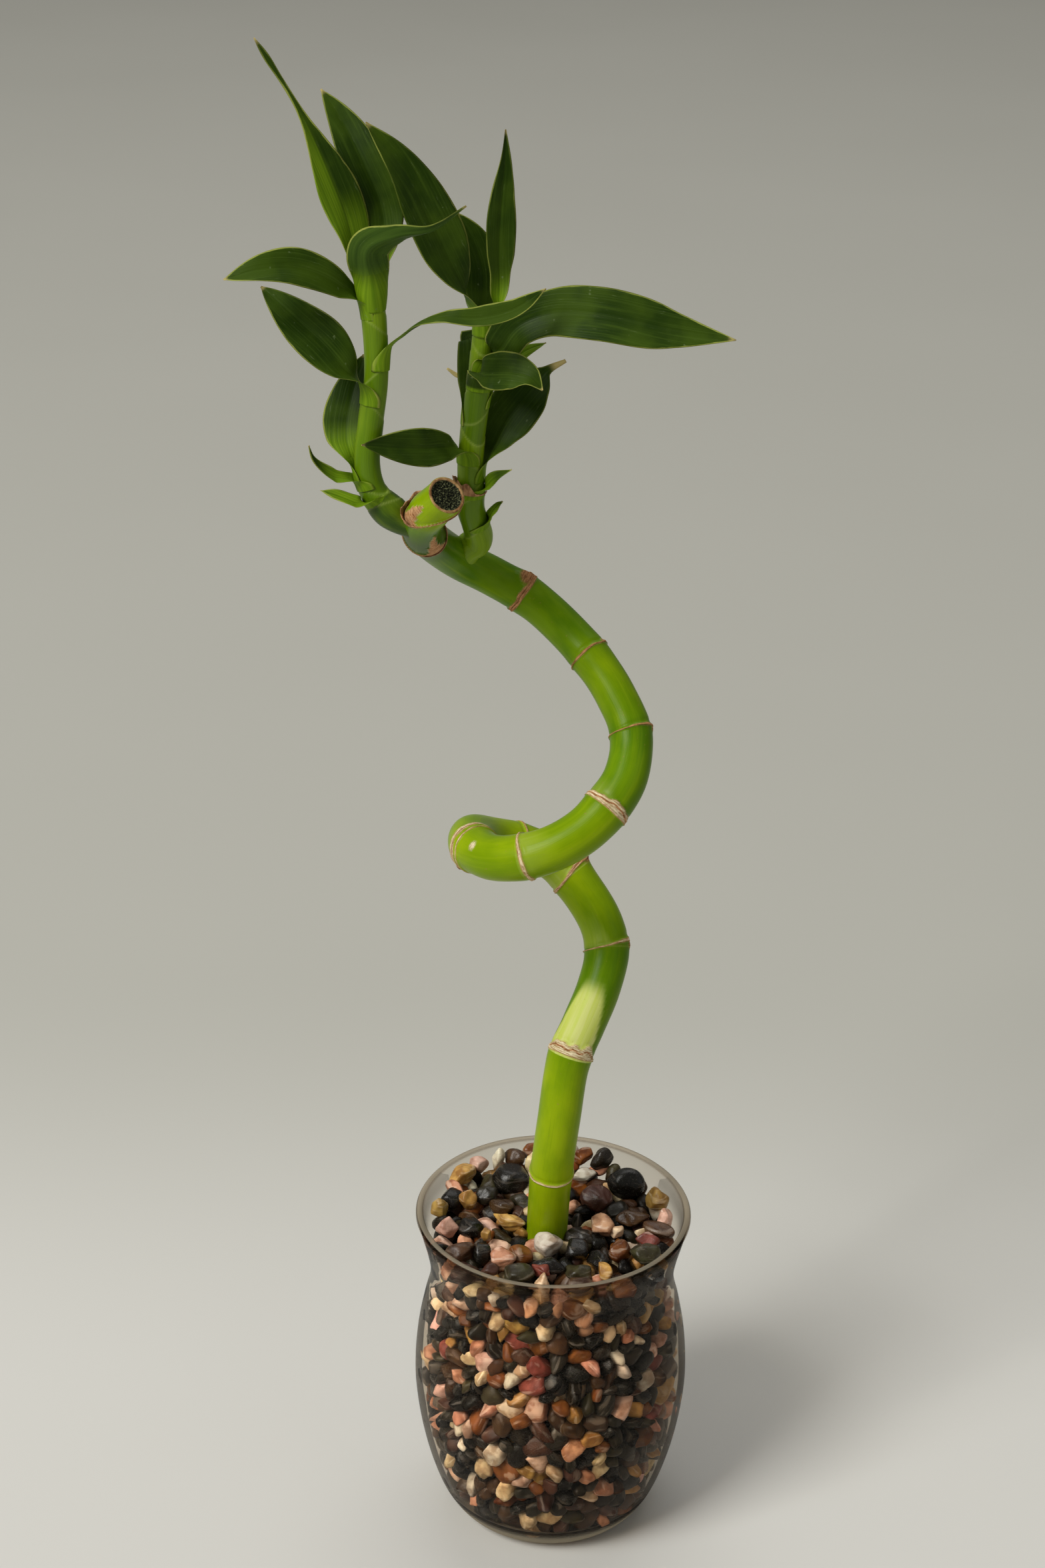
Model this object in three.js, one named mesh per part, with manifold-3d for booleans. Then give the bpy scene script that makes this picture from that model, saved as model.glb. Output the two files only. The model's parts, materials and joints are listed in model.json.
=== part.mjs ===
// A spiral lucky bamboo, Dracaena sanderiana, standing in a clear glass vase of mixed gravel.
// Millimetres, +Z up. The origin is the centre of the vase's foot, on the surface it stands on.
// +X is the viewer's right and +Y is away from the viewer.

import * as THREE from "three";
import { mergeVertices } from "three/addons/utils/BufferGeometryUtils.js";
import Module from "manifold-3d";

// ---- Driving dimensions ----

// Clearance between pieces that touch in the real object
const GAP = 0.3;

// Samples along a curve, and the distance within which vertices count as one
const CURVE_SAMPLES = 1000;
const MERGE_DISTANCE = 1e-4;

// Vase: outer radius and height at each place where the outline changes
const VASE_OUTLINE = [
  [29, 0],
  [32.8, 3],
  [36.7, 9],
  [40, 18],
  [43, 30],
  [45, 43],
  [45.6, 53],
  [44.7, 67],
  [42.6, 79],
  [40.7, 87],
  [40.4, 93],
  [41.4, 99.5],
  [43, 106],
  [44.8, 113],
];
const VASE_HEIGHT = 115;
const VASE_WALL = 2.2;
const VASE_FLOOR = 6;
const VASE_FLOOR_RADIUS = 24;
const FLOOR_ROUND_TOP = 12;
const LIP_RADIUS = 45.2;
const LIP_ROUND = 0.8;
const VASE_SIDES = 40;
const OUTLINE_STEPS = 16;

// Gravel: one solid for the packed stones, with the loose top stones lying on its flat top
const BED_TOP = 103;

// Stalk: the centre of the cane from its cut lower end to the cut stub at the top
const STALK_PATH = [
  [-3, 6, 24],
  [-3, 5, 66],
  [-2, 0, 106],
  [-1, -8, 134],
  [1, -10, 155],
  [4, -6.5, 176],
  [8.5, -2, 186],
  [13, 4, 195.5],
  [15.5, 10.5, 205],
  [14, 15, 212],
  [8.5, 21, 220],
  [-1, 26, 229.5],
  [-12, 24.5, 235.5],
  [-22, 18, 241],
  [-27.5, 7, 247],
  [-27, -4.5, 249.5],
  [-20.5, -16, 251.5],
  [-11, -21, 254.5],
  [-1.5, -22, 258.5],
  [7, -20, 263.5],
  [14, -16, 270],
  [19, -11, 277],
  [20.5, -2, 287],
  [16, 5.5, 296],
  [10, 12, 303.5],
  [0.5, 19.5, 312],
  [-10, 24, 320],
  [-22, 23.5, 327.5],
  [-32, 17.5, 335],
  [-39.5, 3, 346],
  [-42, -12, 355],
  [-40, -25, 365],
  [-34.5, -32.5, 373],
];
// Height and cane radius
const STALK_RADII = [
  [24, 6.2],
  [106, 6.75],
  [200, 7],
  [272, 7],
  [287, 6.3],
  [335, 6],
  [373, 5.5],
];
// Heights of the raised rings that old leaves left round the cane
const STALK_RINGS = [134, 177, 206, 225, 236.5, 249.5, 254.5, 268.5, 287, 305.5, 321.5, 345, 358];
const RING_RISE = 0.35;
const RING_HALF_LENGTH = 1.2;
const RING_SPACE = 2.2;
const BURIED_POINTS = 5;
const STALK_SIDES = 12;
const STALK_STEP = 7;

// Shoots: centre line and radii at the lower and upper end
const LEFT_SHOOT = {
  name: "left_shoot",
  path: [
    [-48.7, -18, 361],
    [-54, -18, 366],
    [-56.5, -18, 371],
    [-57.5, -18, 378],
    [-56.5, -17, 388],
    [-55, -16, 400],
    [-55, -15, 414],
    [-56, -15, 428],
  ],
  radii: [4, 3],
};
const RIGHT_SHOOT = {
  name: "right_shoot",
  path: [
    [-28.8, 13.6, 340.9],
    [-27, 13.2, 342.2],
    [-26.3, 11.8, 345],
    [-27.2, 9, 350],
    [-28.5, 6, 356],
    [-28.5, 4.5, 362],
    [-28.5, 4, 372],
    [-27, 3, 388],
    [-25.5, 3, 402],
    [-24.5, 3, 413],
  ],
  radii: [4.3, 3],
};
const SHOOT_SIDES = 10;
const SHOOT_STEP = 5;

// Leaves. Each is seated on its shoot at a height and a compass bearing in degrees from +X, and
// its midrib then runs through the points to the tip. width is the full width at the broadest
// place, a fraction of the length; fold is the rise of the margins above the midrib; face is the
// direction that the upper face looks once the blade has turned away from the shoot, and turn is
// the fraction of the length that this takes. A slender leaf narrows early to a long tip.
const LEAF_THICKNESS = 0.7;
const LEAF_TIP_WIDTH = 0.8;
const LEAF_BASE_WIDTH = 5;
const LEAF_ACROSS = 2;
const LEAF_ALONG = 14;
const LEAF_SEAT = 0.95;
const LEAF_TURN = 0.4;
// How a blade narrows past its broadest place: width share = (1 - past ** first) ** second
const FULL_TAPER = [1.8, 0.9];
const SLENDER_TAPER = [1.2, 1.3];
const LEFT_LEAVES = [
  {
    name: "left_leaf_tall",
    seat: [426, 165],
    width: 13,
    broadest: 0.38,
    slender: true,
    fold: 2,
    face: [0.5, -1, 0.2],
    points: [[-61, -13.5, 437], [-63, -12, 446], [-67, -12, 457], [-75.5, -12, 476], [-87, -12, 494.5]],
  },
  {
    name: "left_leaf_back",
    seat: [426, 50],
    width: 14,
    broadest: 0.5,
    fold: 2,
    face: [0.3, -1, 0.2],
    points: [[-52.5, -9.5, 436], [-53.5, -6, 447], [-58.5, -2, 458.5], [-64.5, 3, 469], [-70.5, 6, 477.5]],
  },
  {
    name: "left_leaf_funnel",
    turn: 1,
    seat: [421, 275],
    width: 12,
    broadest: 0.3,
    slender: true,
    fold: 2,
    face: [0.2, 0.8, 1],
    points: [[-55.5, -21, 430], [-56, -24.5, 440], [-48, -28, 445], [-38.5, -28, 447], [-29.5, -25, 453]],
  },
  {
    name: "left_leaf_far",
    seat: [418.5, 190],
    width: 11,
    broadest: 0.55,
    fold: 1.5,
    face: [0, -0.8, 0.6],
    points: [[-61, -17, 424], [-67, -20, 430.5], [-76, -23, 434.5], [-85, -26, 435], [-95.5, -28, 432.5]],
  },
  {
    name: "left_leaf_low",
    seat: [394, 215],
    width: 14.5,
    broadest: 0.5,
    fold: 1.5,
    face: [0.3, -0.9, 0.5],
    points: [[-61.5, -20.5, 402], [-68, -19, 410.5], [-77, -15.5, 418], [-87, -11, 426]],
  },
  {
    name: "left_leaf_behind",
    seat: [372, 150],
    width: 14,
    broadest: 0.5,
    fold: 1.5,
    face: [-0.2, -1, 0.2],
    points: [[-63, -13.5, 379], [-63.5, -10, 386], [-62, -6, 394], [-59, -1, 404]],
  },
  {
    name: "left_bract_upper",
    seat: [370.5, 200],
    width: 5,
    broadest: 0.4,
    fold: 0.8,
    face: [1, -0.3, 0.6],
    points: [[-65, -21.5, 373], [-69.5, -23.5, 376.5], [-72.3, -24.5, 380.5], [-73.5, -25, 384.5]],
  },
  {
    name: "left_bract_lower",
    seat: [365.5, 240],
    width: 5,
    broadest: 0.4,
    fold: 0.8,
    face: [0.3, -0.6, 1],
    points: [[-60.5, -24.5, 367.5], [-65.5, -24.5, 369.5], [-70.5, -24, 371]],
  },
  {
    name: "left_leaf_crossing",
    seat: [404, 340],
    turn: 1,
    width: 9,
    broadest: 0.55,
    slender: true,
    fold: 1,
    face: [0, -0.9, 0.6],
    points: [
      [-49, -17.5, 412],
      [-43.5, -18.5, 417.5],
      [-35.5, -20, 420.5],
      [-26, -20, 420.5],
      [-16.5, -18, 422.5],
      [-7.5, -14, 427.5],
    ],
  },
];
const RIGHT_LEAVES = [
  {
    name: "right_leaf_upright",
    seat: [409, 0],
    width: 9.5,
    broadest: 0.6,
    fold: 1.5,
    face: [0.5, -1, 0.1],
    points: [[-20.5, 3.5, 420], [-21, 5, 434], [-20.5, 7.5, 446], [-19.5, 10, 457.5], [-19.5, 11, 466]],
  },
  {
    name: "right_leaf_leaning",
    seat: [409, 240],
    width: 15.5,
    broadest: 0.5,
    fold: 2,
    face: [0.4, -1, 0.4],
    points: [[-29.5, -2, 420], [-35, -4, 433], [-41, -6, 446.5], [-47.5, -7, 459], [-57.5, -8, 471.5]],
  },
  {
    name: "right_leaf_back",
    seat: [409, 110],
    width: 13,
    broadest: 0.45,
    fold: 1.5,
    face: [0.3, -1, 0.2],
    points: [[-25.5, 9, 419], [-26, 12, 427], [-29, 14.5, 434.5], [-33, 16, 441]],
  },
  {
    name: "right_leaf_big",
    seat: [398, 305],
    width: 15.5,
    broadest: 0.6,
    fold: 2,
    face: [0, -0.9, 0.5],
    points: [
      [-20.5, -3.5, 406],
      [-15.5, -4.5, 413.5],
      [-5.5, -6, 418],
      [8, -9, 418.5],
      [27, -12, 415.5],
      [46, -14, 413.5],
    ],
  },
  {
    name: "right_leaf_curled",
    seat: [393, 270],
    width: 11,
    broadest: 0.6,
    fold: 1,
    face: [0.1, -0.9, 0.5],
    points: [[-25.5, -5.5, 400], [-21, -9.5, 402], [-16, -13, 403], [-11.5, -15.5, 402.5], [-8, -17, 399]],
  },
  {
    name: "right_leaf_dry_tip",
    seat: [382, 130],
    width: 8,
    broadest: 0.5,
    fold: 1,
    face: [-0.3, -1, 0.3],
    points: [[-30, 10, 391], [-30.5, 13, 400], [-31, 16, 405.5], [-33, 19, 402], [-35, 21, 393]],
  },
  {
    name: "right_leaf_broad",
    seat: [365, 15],
    width: 15.5,
    broadest: 0.65,
    fold: 1.5,
    face: [-0.2, -1, 0.4],
    points: [[-21, 6.5, 374], [-17, 8.5, 382], [-11, 10.5, 389], [-4.5, 12, 394.5], [-0.5, 13, 399]],
  },
  {
    name: "right_leaf_narrow",
    seat: [388, 45],
    width: 5,
    broadest: 0.5,
    fold: 0.8,
    face: [-0.3, -1, 0.6],
    points: [[-20.5, 10, 395], [-13.5, 15, 400.5], [-7, 18, 402.5]],
  },
  {
    name: "right_leaf_crossing",
    seat: [370.5, 230],
    width: 11.5,
    broadest: 0.5,
    fold: 1.2,
    face: [0, -0.9, 0.5],
    points: [[-34.5, -5, 377.5], [-41.5, -14, 380.5], [-50, -21, 383], [-58.5, -27, 385.5]],
  },
  {
    name: "right_bract_upper",
    seat: [360.5, 320],
    width: 5,
    broadest: 0.4,
    fold: 0.8,
    face: [-0.4, -0.6, 1],
    points: [[-22.5, 0.5, 365.5], [-16.5, -2, 370.5]],
  },
  {
    name: "right_bract_lower",
    seat: [350, 330],
    width: 4.5,
    broadest: 0.4,
    fold: 0.8,
    face: [-0.5, -0.6, 1],
    points: [[-22, 5, 354.5], [-19, 4, 358.5]],
  },
];

// Loose top stones lie in three rings round the stalk. A size is the stone's length along the
// ring, its depth across it and its height. The core ring is centred on the stalk.
const STONE_RINGS = [
  { label: "outer", centre: [0, 0], radius: 35.2, count: 15, start: 6, depth: 9.8 },
  { label: "inner", centre: [0, 0], radius: 23.9, count: 10, start: 22, depth: 11 },
  { label: "core", centre: [-2, -0.8], radius: 11.8, count: 5, start: -90, depth: 7.6 },
];
const STONE_LENGTHS = [13.8, 12.4, 13.2, 11.8, 14];
const STONE_HEIGHTS = [9.6, 8.2, 9, 9.4, 7.8];
const STONE_DETAIL = 1;
const STONE_ANGLE_STEP = 2.4;
const STONE_COLOURS = [0x2a2b2e, 0xc98f6c, 0x3b3330, 0xd8b25c, 0x26282b, 0xd9a48f, 0x6b4a35, 0xcfc4ae];

// ---- Materials ----

const COLOURS = { glass: 0xdfe6e2, gravel: 0x4a4038, stalk: 0x7fb51f, shoot: 0x4f8a24, leaf: 0x2f5a20 };

function finish(color, roughness) {
  return new THREE.MeshStandardMaterial({ color, roughness, metalness: 0 });
}

// ---- Shared shapes ----

// A cylinder bent along a curve. Its rows lie at the given fractions of the curve's length.
function bentCane(curve, fractions, radiusAt, sides) {
  const rows = fractions.length - 1;
  const frames = curve.computeFrenetFrames(CURVE_SAMPLES, false);
  const geometry = new THREE.CylinderGeometry(1, 1, 1, sides, rows, false);
  const position = geometry.getAttribute("position");
  const vertex = new THREE.Vector3();
  for (let i = 0; i < position.count; i += 1) {
    vertex.fromBufferAttribute(position, i);
    const row = Math.round((vertex.y + 0.5) * rows);
    const fraction = fractions[row];
    const centre = curve.getPointAt(fraction);
    const frame = Math.round(fraction * CURVE_SAMPLES);
    const radius = radiusAt(fraction, centre);
    centre.addScaledVector(frames.binormals[frame], vertex.x * radius);
    centre.addScaledVector(frames.normals[frame], vertex.z * radius);
    position.setXYZ(i, centre.x, centre.y, centre.z);
  }
  geometry.computeVertexNormals();
  return geometry;
}

function smoothCurve(points) {
  const curve = new THREE.CatmullRomCurve3(points.map((point) => new THREE.Vector3(...point)));
  curve.arcLengthDivisions = CURVE_SAMPLES;
  return curve;
}

function evenFractions(length, step) {
  const count = Math.ceil(length / step);
  return Array.from({ length: count + 1 }, (unused, i) => i / count);
}

// Straight-line reading of a table of [place, value] rows
function readTable(table, place) {
  const last = table.length - 1;
  if (place <= table[0][0]) {
    return table[0][1];
  }
  for (let i = 0; i < last; i += 1) {
    const [from, low] = table[i];
    const [to, high] = table[i + 1];
    if (place <= to) {
      return THREE.MathUtils.mapLinear(place, from, to, low, high);
    }
  }
  return table[last][1];
}

// Fraction of a rising curve's length at which it reaches a height
function fractionAtHeight(curve, height) {
  for (let i = 0; i <= CURVE_SAMPLES; i += 1) {
    if (curve.getPointAt(i / CURVE_SAMPLES).z >= height) {
      return i / CURVE_SAMPLES;
    }
  }
  return 1;
}

function toSolid(wasm, geometry) {
  const bare = geometry.clone();
  bare.deleteAttribute("normal");
  bare.deleteAttribute("uv");
  const merged = mergeVertices(bare, MERGE_DISTANCE);
  const mesh = new wasm.Mesh({
    numProp: 3,
    vertProperties: new Float32Array(merged.getAttribute("position").array),
    triVerts: new Uint32Array(merged.getIndex().array),
  });
  return new wasm.Manifold(mesh);
}

function fromSolid(solid) {
  const mesh = solid.getMesh();
  const geometry = new THREE.BufferGeometry();
  geometry.setAttribute("position", new THREE.BufferAttribute(new Float32Array(mesh.vertProperties), 3));
  geometry.setIndex(new THREE.BufferAttribute(new Uint32Array(mesh.triVerts), 1));
  geometry.computeVertexNormals();
  return geometry;
}

// ---- Vase ----

const vaseCurve = new THREE.SplineCurve(VASE_OUTLINE.map(([r, z]) => new THREE.Vector2(r, z)));
const vaseSide = vaseCurve.getPoints(OUTLINE_STEPS);

// The vase's inner wall, from the rounded edge of its floor to below the lip, set in by inset
function innerSide(inset) {
  const floorEdge = new THREE.Vector2(VASE_FLOOR_RADIUS, VASE_FLOOR + inset);
  const wall = vaseSide.filter((point) => point.y > FLOOR_ROUND_TOP);
  return [floorEdge, ...wall.map((point) => new THREE.Vector2(point.x - VASE_WALL - inset, point.y))];
}

function lathe(points, sides) {
  const geometry = new THREE.LatheGeometry(points, sides);
  geometry.rotateX(Math.PI / 2);
  return geometry;
}

function makeVase() {
  const lip = [
    new THREE.Vector2(LIP_RADIUS, VASE_HEIGHT - LIP_ROUND),
    new THREE.Vector2(LIP_RADIUS - VASE_WALL / 2, VASE_HEIGHT),
    new THREE.Vector2(LIP_RADIUS - VASE_WALL, VASE_HEIGHT - LIP_ROUND),
  ];
  const inner = innerSide(0).reverse();
  const axisBottom = new THREE.Vector2(0, 0);
  const axisFloor = new THREE.Vector2(0, VASE_FLOOR);
  return lathe([axisBottom, ...vaseSide, ...lip, ...inner, axisFloor], VASE_SIDES);
}

// ---- Stalk ----

const stalkCurve = smoothCurve(STALK_PATH);

const stalkLength = stalkCurve.getLength();
const ringFractions = STALK_RINGS.map((height) => fractionAtHeight(stalkCurve, height));

function makeStalk() {
  const reach = RING_HALF_LENGTH / stalkLength;
  const clear = RING_SPACE * reach;
  const nearRing = (fraction) => ringFractions.some((ring) => Math.abs(ring - fraction) < clear);
  const plain = evenFractions(stalkLength, STALK_STEP).filter((fraction) => !nearRing(fraction));
  const rings = ringFractions.flatMap((ring) => [ring - reach, ring, ring + reach]);
  const fractions = [...plain, ...rings].sort((a, b) => a - b);
  const radiusAt = (fraction, centre) =>
    readTable(STALK_RADII, centre.z) + (ringFractions.includes(fraction) ? RING_RISE : 0);
  return bentCane(stalkCurve, fractions, radiusAt, STALK_SIDES);
}

// ---- Gravel ----

function makeBed(wasm) {
  const wall = innerSide(GAP);
  const below = wall.filter((point) => point.y < BED_TOP);
  const above = wall[below.length];
  const edge = below[below.length - 1].clone();
  edge.lerp(above, (BED_TOP - edge.y) / (above.y - edge.y));
  const profile = [
    new THREE.Vector2(0, VASE_FLOOR + GAP),
    ...below,
    edge,
    new THREE.Vector2(0, BED_TOP),
  ];
  const bed = toSolid(wasm, lathe(profile, VASE_SIDES));
  const sleeveCurve = smoothCurve(STALK_PATH.slice(0, BURIED_POINTS));
  const sleeveFractions = evenFractions(sleeveCurve.getLength(), STALK_STEP * 2);
  const sleeveRadius = (fraction, centre) => readTable(STALK_RADII, centre.z) + 2 * GAP;
  const sleeve = bentCane(sleeveCurve, sleeveFractions, sleeveRadius, STALK_SIDES);
  sleeve.translate(0, 0, -GAP);
  return fromSolid(bed.subtract(toSolid(wasm, sleeve)));
}

// A rounded stone lying on the bed, turned a little further than the one before it
function makeStone(depth, length, height, index) {
  const geometry = new THREE.IcosahedronGeometry(0.5, STONE_DETAIL);
  geometry.rotateX(index * STONE_ANGLE_STEP);
  geometry.rotateY(index * STONE_ANGLE_STEP);
  geometry.scale(depth, length, height);
  geometry.computeBoundingBox();
  geometry.translate(0, 0, -geometry.boundingBox.min.z);
  return geometry;
}

// ---- Leaves ----

// Full width of a leaf at a fraction of its length
function leafWidth({ width, broadest, slender }, fraction) {
  if (fraction < broadest) {
    return THREE.MathUtils.lerp(LEAF_BASE_WIDTH, width, THREE.MathUtils.smoothstep(fraction, 0, broadest));
  }
  const past = (fraction - broadest) / (1 - broadest);
  const [first, second] = slender ? SLENDER_TAPER : FULL_TAPER;
  return Math.max(width * (1 - past ** first) ** second, LEAF_TIP_WIDTH);
}

// A thin blade on a midrib. A box is bent: its x runs across, its y is the thickness and its z
// runs from base to tip. At its base the upper face looks at the shoot.
function makeLeaf(leaf, shoot) {
  const [height, bearing] = leaf.seat;
  const along = fractionAtHeight(shoot.curve, height);
  const centre = shoot.curve.getPointAt(along);
  const upward = shoot.curve.getTangentAt(along);
  const angle = THREE.MathUtils.degToRad(bearing);
  const outward = new THREE.Vector3(Math.cos(angle), Math.sin(angle), 0);
  outward.addScaledVector(upward, -outward.dot(upward)).normalize();
  const reach = THREE.MathUtils.lerp(...shoot.radii, along) + LEAF_SEAT;
  const base = centre.clone().addScaledVector(outward, reach);
  const curve = smoothCurve([base.toArray(), ...leaf.points]);
  const baseFace = outward.clone().negate();
  const tipFace = new THREE.Vector3(...leaf.face).normalize();
  const geometry = new THREE.BoxGeometry(1, 1, 1, LEAF_ACROSS, 1, LEAF_ALONG);
  const position = geometry.getAttribute("position");
  const vertex = new THREE.Vector3();
  for (let i = 0; i < position.count; i += 1) {
    vertex.fromBufferAttribute(position, i);
    const fraction = vertex.z + 0.5;
    const tangent = curve.getTangentAt(fraction);
    const turned = THREE.MathUtils.smoothstep(fraction, 0, leaf.turn ?? LEAF_TURN);
    const normal = baseFace.clone().lerp(tipFace, turned);
    normal.addScaledVector(tangent, -normal.dot(tangent)).normalize();
    const across = normal.clone().cross(tangent);
    const width = leafWidth(leaf, fraction);
    const rise = (leaf.fold * width * 2 * Math.abs(vertex.x)) / leaf.width;
    const point = curve.getPointAt(fraction);
    point.addScaledVector(across, width * vertex.x);
    point.addScaledVector(normal, rise + LEAF_THICKNESS * vertex.y);
    position.setXYZ(i, point.x, point.y, point.z);
  }
  geometry.computeVertexNormals();
  return geometry;
}

// ---- Assembly ----

const group = new THREE.Group();

function add(name, geometry, material) {
  const mesh = new THREE.Mesh(geometry, material);
  mesh.name = name;
  group.add(mesh);
  return mesh;
}

const wasm = await Module();
wasm.setup();

add("glass_vase", makeVase(), finish(COLOURS.glass, 0.05));
add("gravel_bed", makeBed(wasm), finish(COLOURS.gravel, 0.45));

for (const { label, centre, radius, count, start, depth } of STONE_RINGS) {
  for (let i = 0; i < count; i += 1) {
    const length = STONE_LENGTHS[i % STONE_LENGTHS.length];
    const height = STONE_HEIGHTS[i % STONE_HEIGHTS.length];
    const colour = STONE_COLOURS[(i * 3 + count) % STONE_COLOURS.length];
    const angle = THREE.MathUtils.degToRad(start + (360 * i) / count);
    const number = String(i + 1).padStart(2, "0");
    const stone = add(`stone_${label}_${number}`, makeStone(depth, length, height, i), finish(colour, 0.35));
    stone.rotation.z = angle;
    stone.position.x = centre[0] + radius * Math.cos(angle);
    stone.position.y = centre[1] + radius * Math.sin(angle);
    stone.position.z = BED_TOP + GAP;
  }
}

add("stalk", makeStalk(), finish(COLOURS.stalk, 0.3));

function addShoot(shoot, leaves) {
  const curve = smoothCurve(shoot.path);
  const fractions = evenFractions(curve.getLength(), SHOOT_STEP);
  const radiusAt = (fraction) => THREE.MathUtils.lerp(...shoot.radii, fraction);
  add(shoot.name, bentCane(curve, fractions, radiusAt, SHOOT_SIDES), finish(COLOURS.shoot, 0.35));
  for (const leaf of leaves) {
    add(leaf.name, makeLeaf(leaf, { ...shoot, curve }), finish(COLOURS.leaf, 0.4));
  }
}

addShoot(LEFT_SHOOT, LEFT_LEAVES);
addShoot(RIGHT_SHOOT, RIGHT_LEAVES);

export default group;
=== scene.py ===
"""The look of a spiral lucky bamboo in its glass vase of mixed gravel, built round the CAD frame.

Lengths are in millimetres until a mesh is made. +X is the viewer's right, +Y is away from the
viewer and +Z is up, from the centre of the vase's foot on the table. A point value is a number
kept at each point of a mesh, which a material reads by its name.
"""

import json
import math

import bmesh
import bpy
import numpy as np
from mathutils import Matrix, Vector


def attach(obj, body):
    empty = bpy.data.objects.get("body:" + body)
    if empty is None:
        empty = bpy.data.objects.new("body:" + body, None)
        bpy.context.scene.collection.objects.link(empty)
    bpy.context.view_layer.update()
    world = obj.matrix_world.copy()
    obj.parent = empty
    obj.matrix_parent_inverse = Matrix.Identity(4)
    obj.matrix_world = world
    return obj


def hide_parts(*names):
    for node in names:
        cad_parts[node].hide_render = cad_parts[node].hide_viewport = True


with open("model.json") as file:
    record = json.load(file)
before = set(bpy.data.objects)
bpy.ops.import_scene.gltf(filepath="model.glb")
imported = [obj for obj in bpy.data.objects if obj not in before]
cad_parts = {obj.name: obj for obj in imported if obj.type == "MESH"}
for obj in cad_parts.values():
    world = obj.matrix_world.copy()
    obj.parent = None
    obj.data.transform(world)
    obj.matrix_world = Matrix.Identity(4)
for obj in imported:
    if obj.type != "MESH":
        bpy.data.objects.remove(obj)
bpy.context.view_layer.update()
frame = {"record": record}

MM = 0.001


def add_object(name, data):
    added = bpy.data.objects.new(name, data)
    bpy.context.scene.collection.objects.link(added)
    return added


# ---- Camera ----

# The photo's camera: its place, its focal length, and how many degrees it looks down and rolls
CAMERA_PLACE = (-12.1, -784.0, 637.3)
CAMERA_LENS = 65
CAMERA_SENSOR = 36
CAMERA_DOWN = 25.175
CAMERA_ROLL = 0.795

camera_data = bpy.data.cameras.new("camera")
camera_data.lens = CAMERA_LENS
camera_data.sensor_width = CAMERA_SENSOR
camera = add_object("camera", camera_data)
camera.matrix_world = (
    Matrix.Translation(Vector(CAMERA_PLACE) * MM)
    @ Matrix.Rotation(math.radians(90 - CAMERA_DOWN), 4, "X")
    @ Matrix.Rotation(math.radians(CAMERA_ROLL), 4, "Z")
)
bpy.context.scene.camera = camera
bpy.context.scene.view_settings.view_transform = "Standard"


# ---- Numbers and curves ----


def unit(vectors):
    return vectors / np.linalg.norm(vectors, axis=-1, keepdims=True)


def smoothstep(values, low, high):
    share = np.clip((values - low) / (high - low), 0, 1)
    return share * share * (3 - 2 * share)


def lerp(low, high, share):
    return low + (high - low) * share


def bell(values, width):
    return np.exp(-((values / width) ** 2))


def full_turn(sides):
    return np.linspace(0, 2 * math.pi, sides, endpoint=False)


def round_places(radius, turns, height):
    """Places round the upright, in rows of one height each."""
    return np.stack([radius * np.cos(turns), radius * np.sin(turns), height + 0 * turns], axis=-1)


def wave(angles, rng, highest, falloff=1.0):
    """A seeded wave round a circle, about -1 to 1, made of that many harmonics."""
    total = np.zeros_like(angles)
    for harmonic in range(1, highest + 1):
        phase = rng.uniform(0, 2 * math.pi)
        total += rng.uniform(0.5, 1) * np.sin(harmonic * angles + phase) / harmonic**falloff
    return total / np.abs(total).max()


def read_table(table, places):
    places_known, values = zip(*table)
    return np.interp(places, places_known, values)


class Path:
    """A smooth curve through points (a centripetal Catmull-Rom), read by distance along it."""

    STEPS = 60

    def __init__(self, points):
        points = np.array(points, dtype=float)
        before = 2 * points[0] - points[1]
        after = 2 * points[-1] - points[-2]
        known = np.vstack([before, points, after])
        spans = [self.span(*known[i : i + 4]) for i in range(len(points) - 1)]
        self.points = np.vstack([*spans, points[-1:]])
        steps = np.linalg.norm(np.diff(self.points, axis=0), axis=1)
        self.distances = np.concatenate([[0], np.cumsum(steps)])
        self.length = self.distances[-1]
        self.tangents = unit(np.gradient(self.points, self.distances, axis=0))
        self.sides = self.carried_sides()

    def span(self, a, b, c, d):
        first, middle, last = (math.sqrt(np.linalg.norm(q - p)) for p, q in ((a, b), (b, c), (c, d)))
        leave = ((b - a) / first - (c - a) / (first + middle) + (c - b) / middle) * middle
        arrive = ((c - b) / middle - (d - b) / (middle + last) + (d - c) / last) * middle
        t = np.linspace(0, 1, self.STEPS, endpoint=False)[:, None]
        ease = 3 * t**2 - 2 * t**3
        return b + (c - b) * ease + leave * (t - 2 * t**2 + t**3) + arrive * (t**3 - t**2)

    def carried_sides(self):
        """One sideways direction, carried along the curve without twist."""
        side = np.array([1.0, 0.0, 0.0])
        sides = []
        for tangent in self.tangents:
            side = unit(side - tangent * side.dot(tangent))
            sides.append(side)
        return np.array(sides)

    def read(self, rows, distances):
        return np.stack([np.interp(distances, self.distances, rows[:, k]) for k in range(3)], axis=-1)

    def at(self, distances):
        return self.read(self.points, distances)

    def tangent_at(self, distances):
        return unit(self.read(self.tangents, distances))

    def side_at(self, distances):
        return unit(self.read(self.sides, distances))

    def reach_height(self, height):
        """The first distance at which the curve is that high."""
        return self.distances[np.argmax(self.points[:, 2] >= height)]


# ---- Meshes ----


def strip_faces(rows, columns, closed_rows=False):
    """Quads between rows of points, each row a closed loop of columns."""
    last = rows if closed_rows else rows - 1
    row, column = np.meshgrid(np.arange(last), np.arange(columns), indexing="ij")
    beside, above = (column + 1) % columns, (row + 1) % rows
    here, there = row * columns, above * columns
    corners = [here + column, here + beside, there + beside, there + column]
    return np.stack(corners, axis=-1).reshape(-1, 4).tolist()


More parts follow.
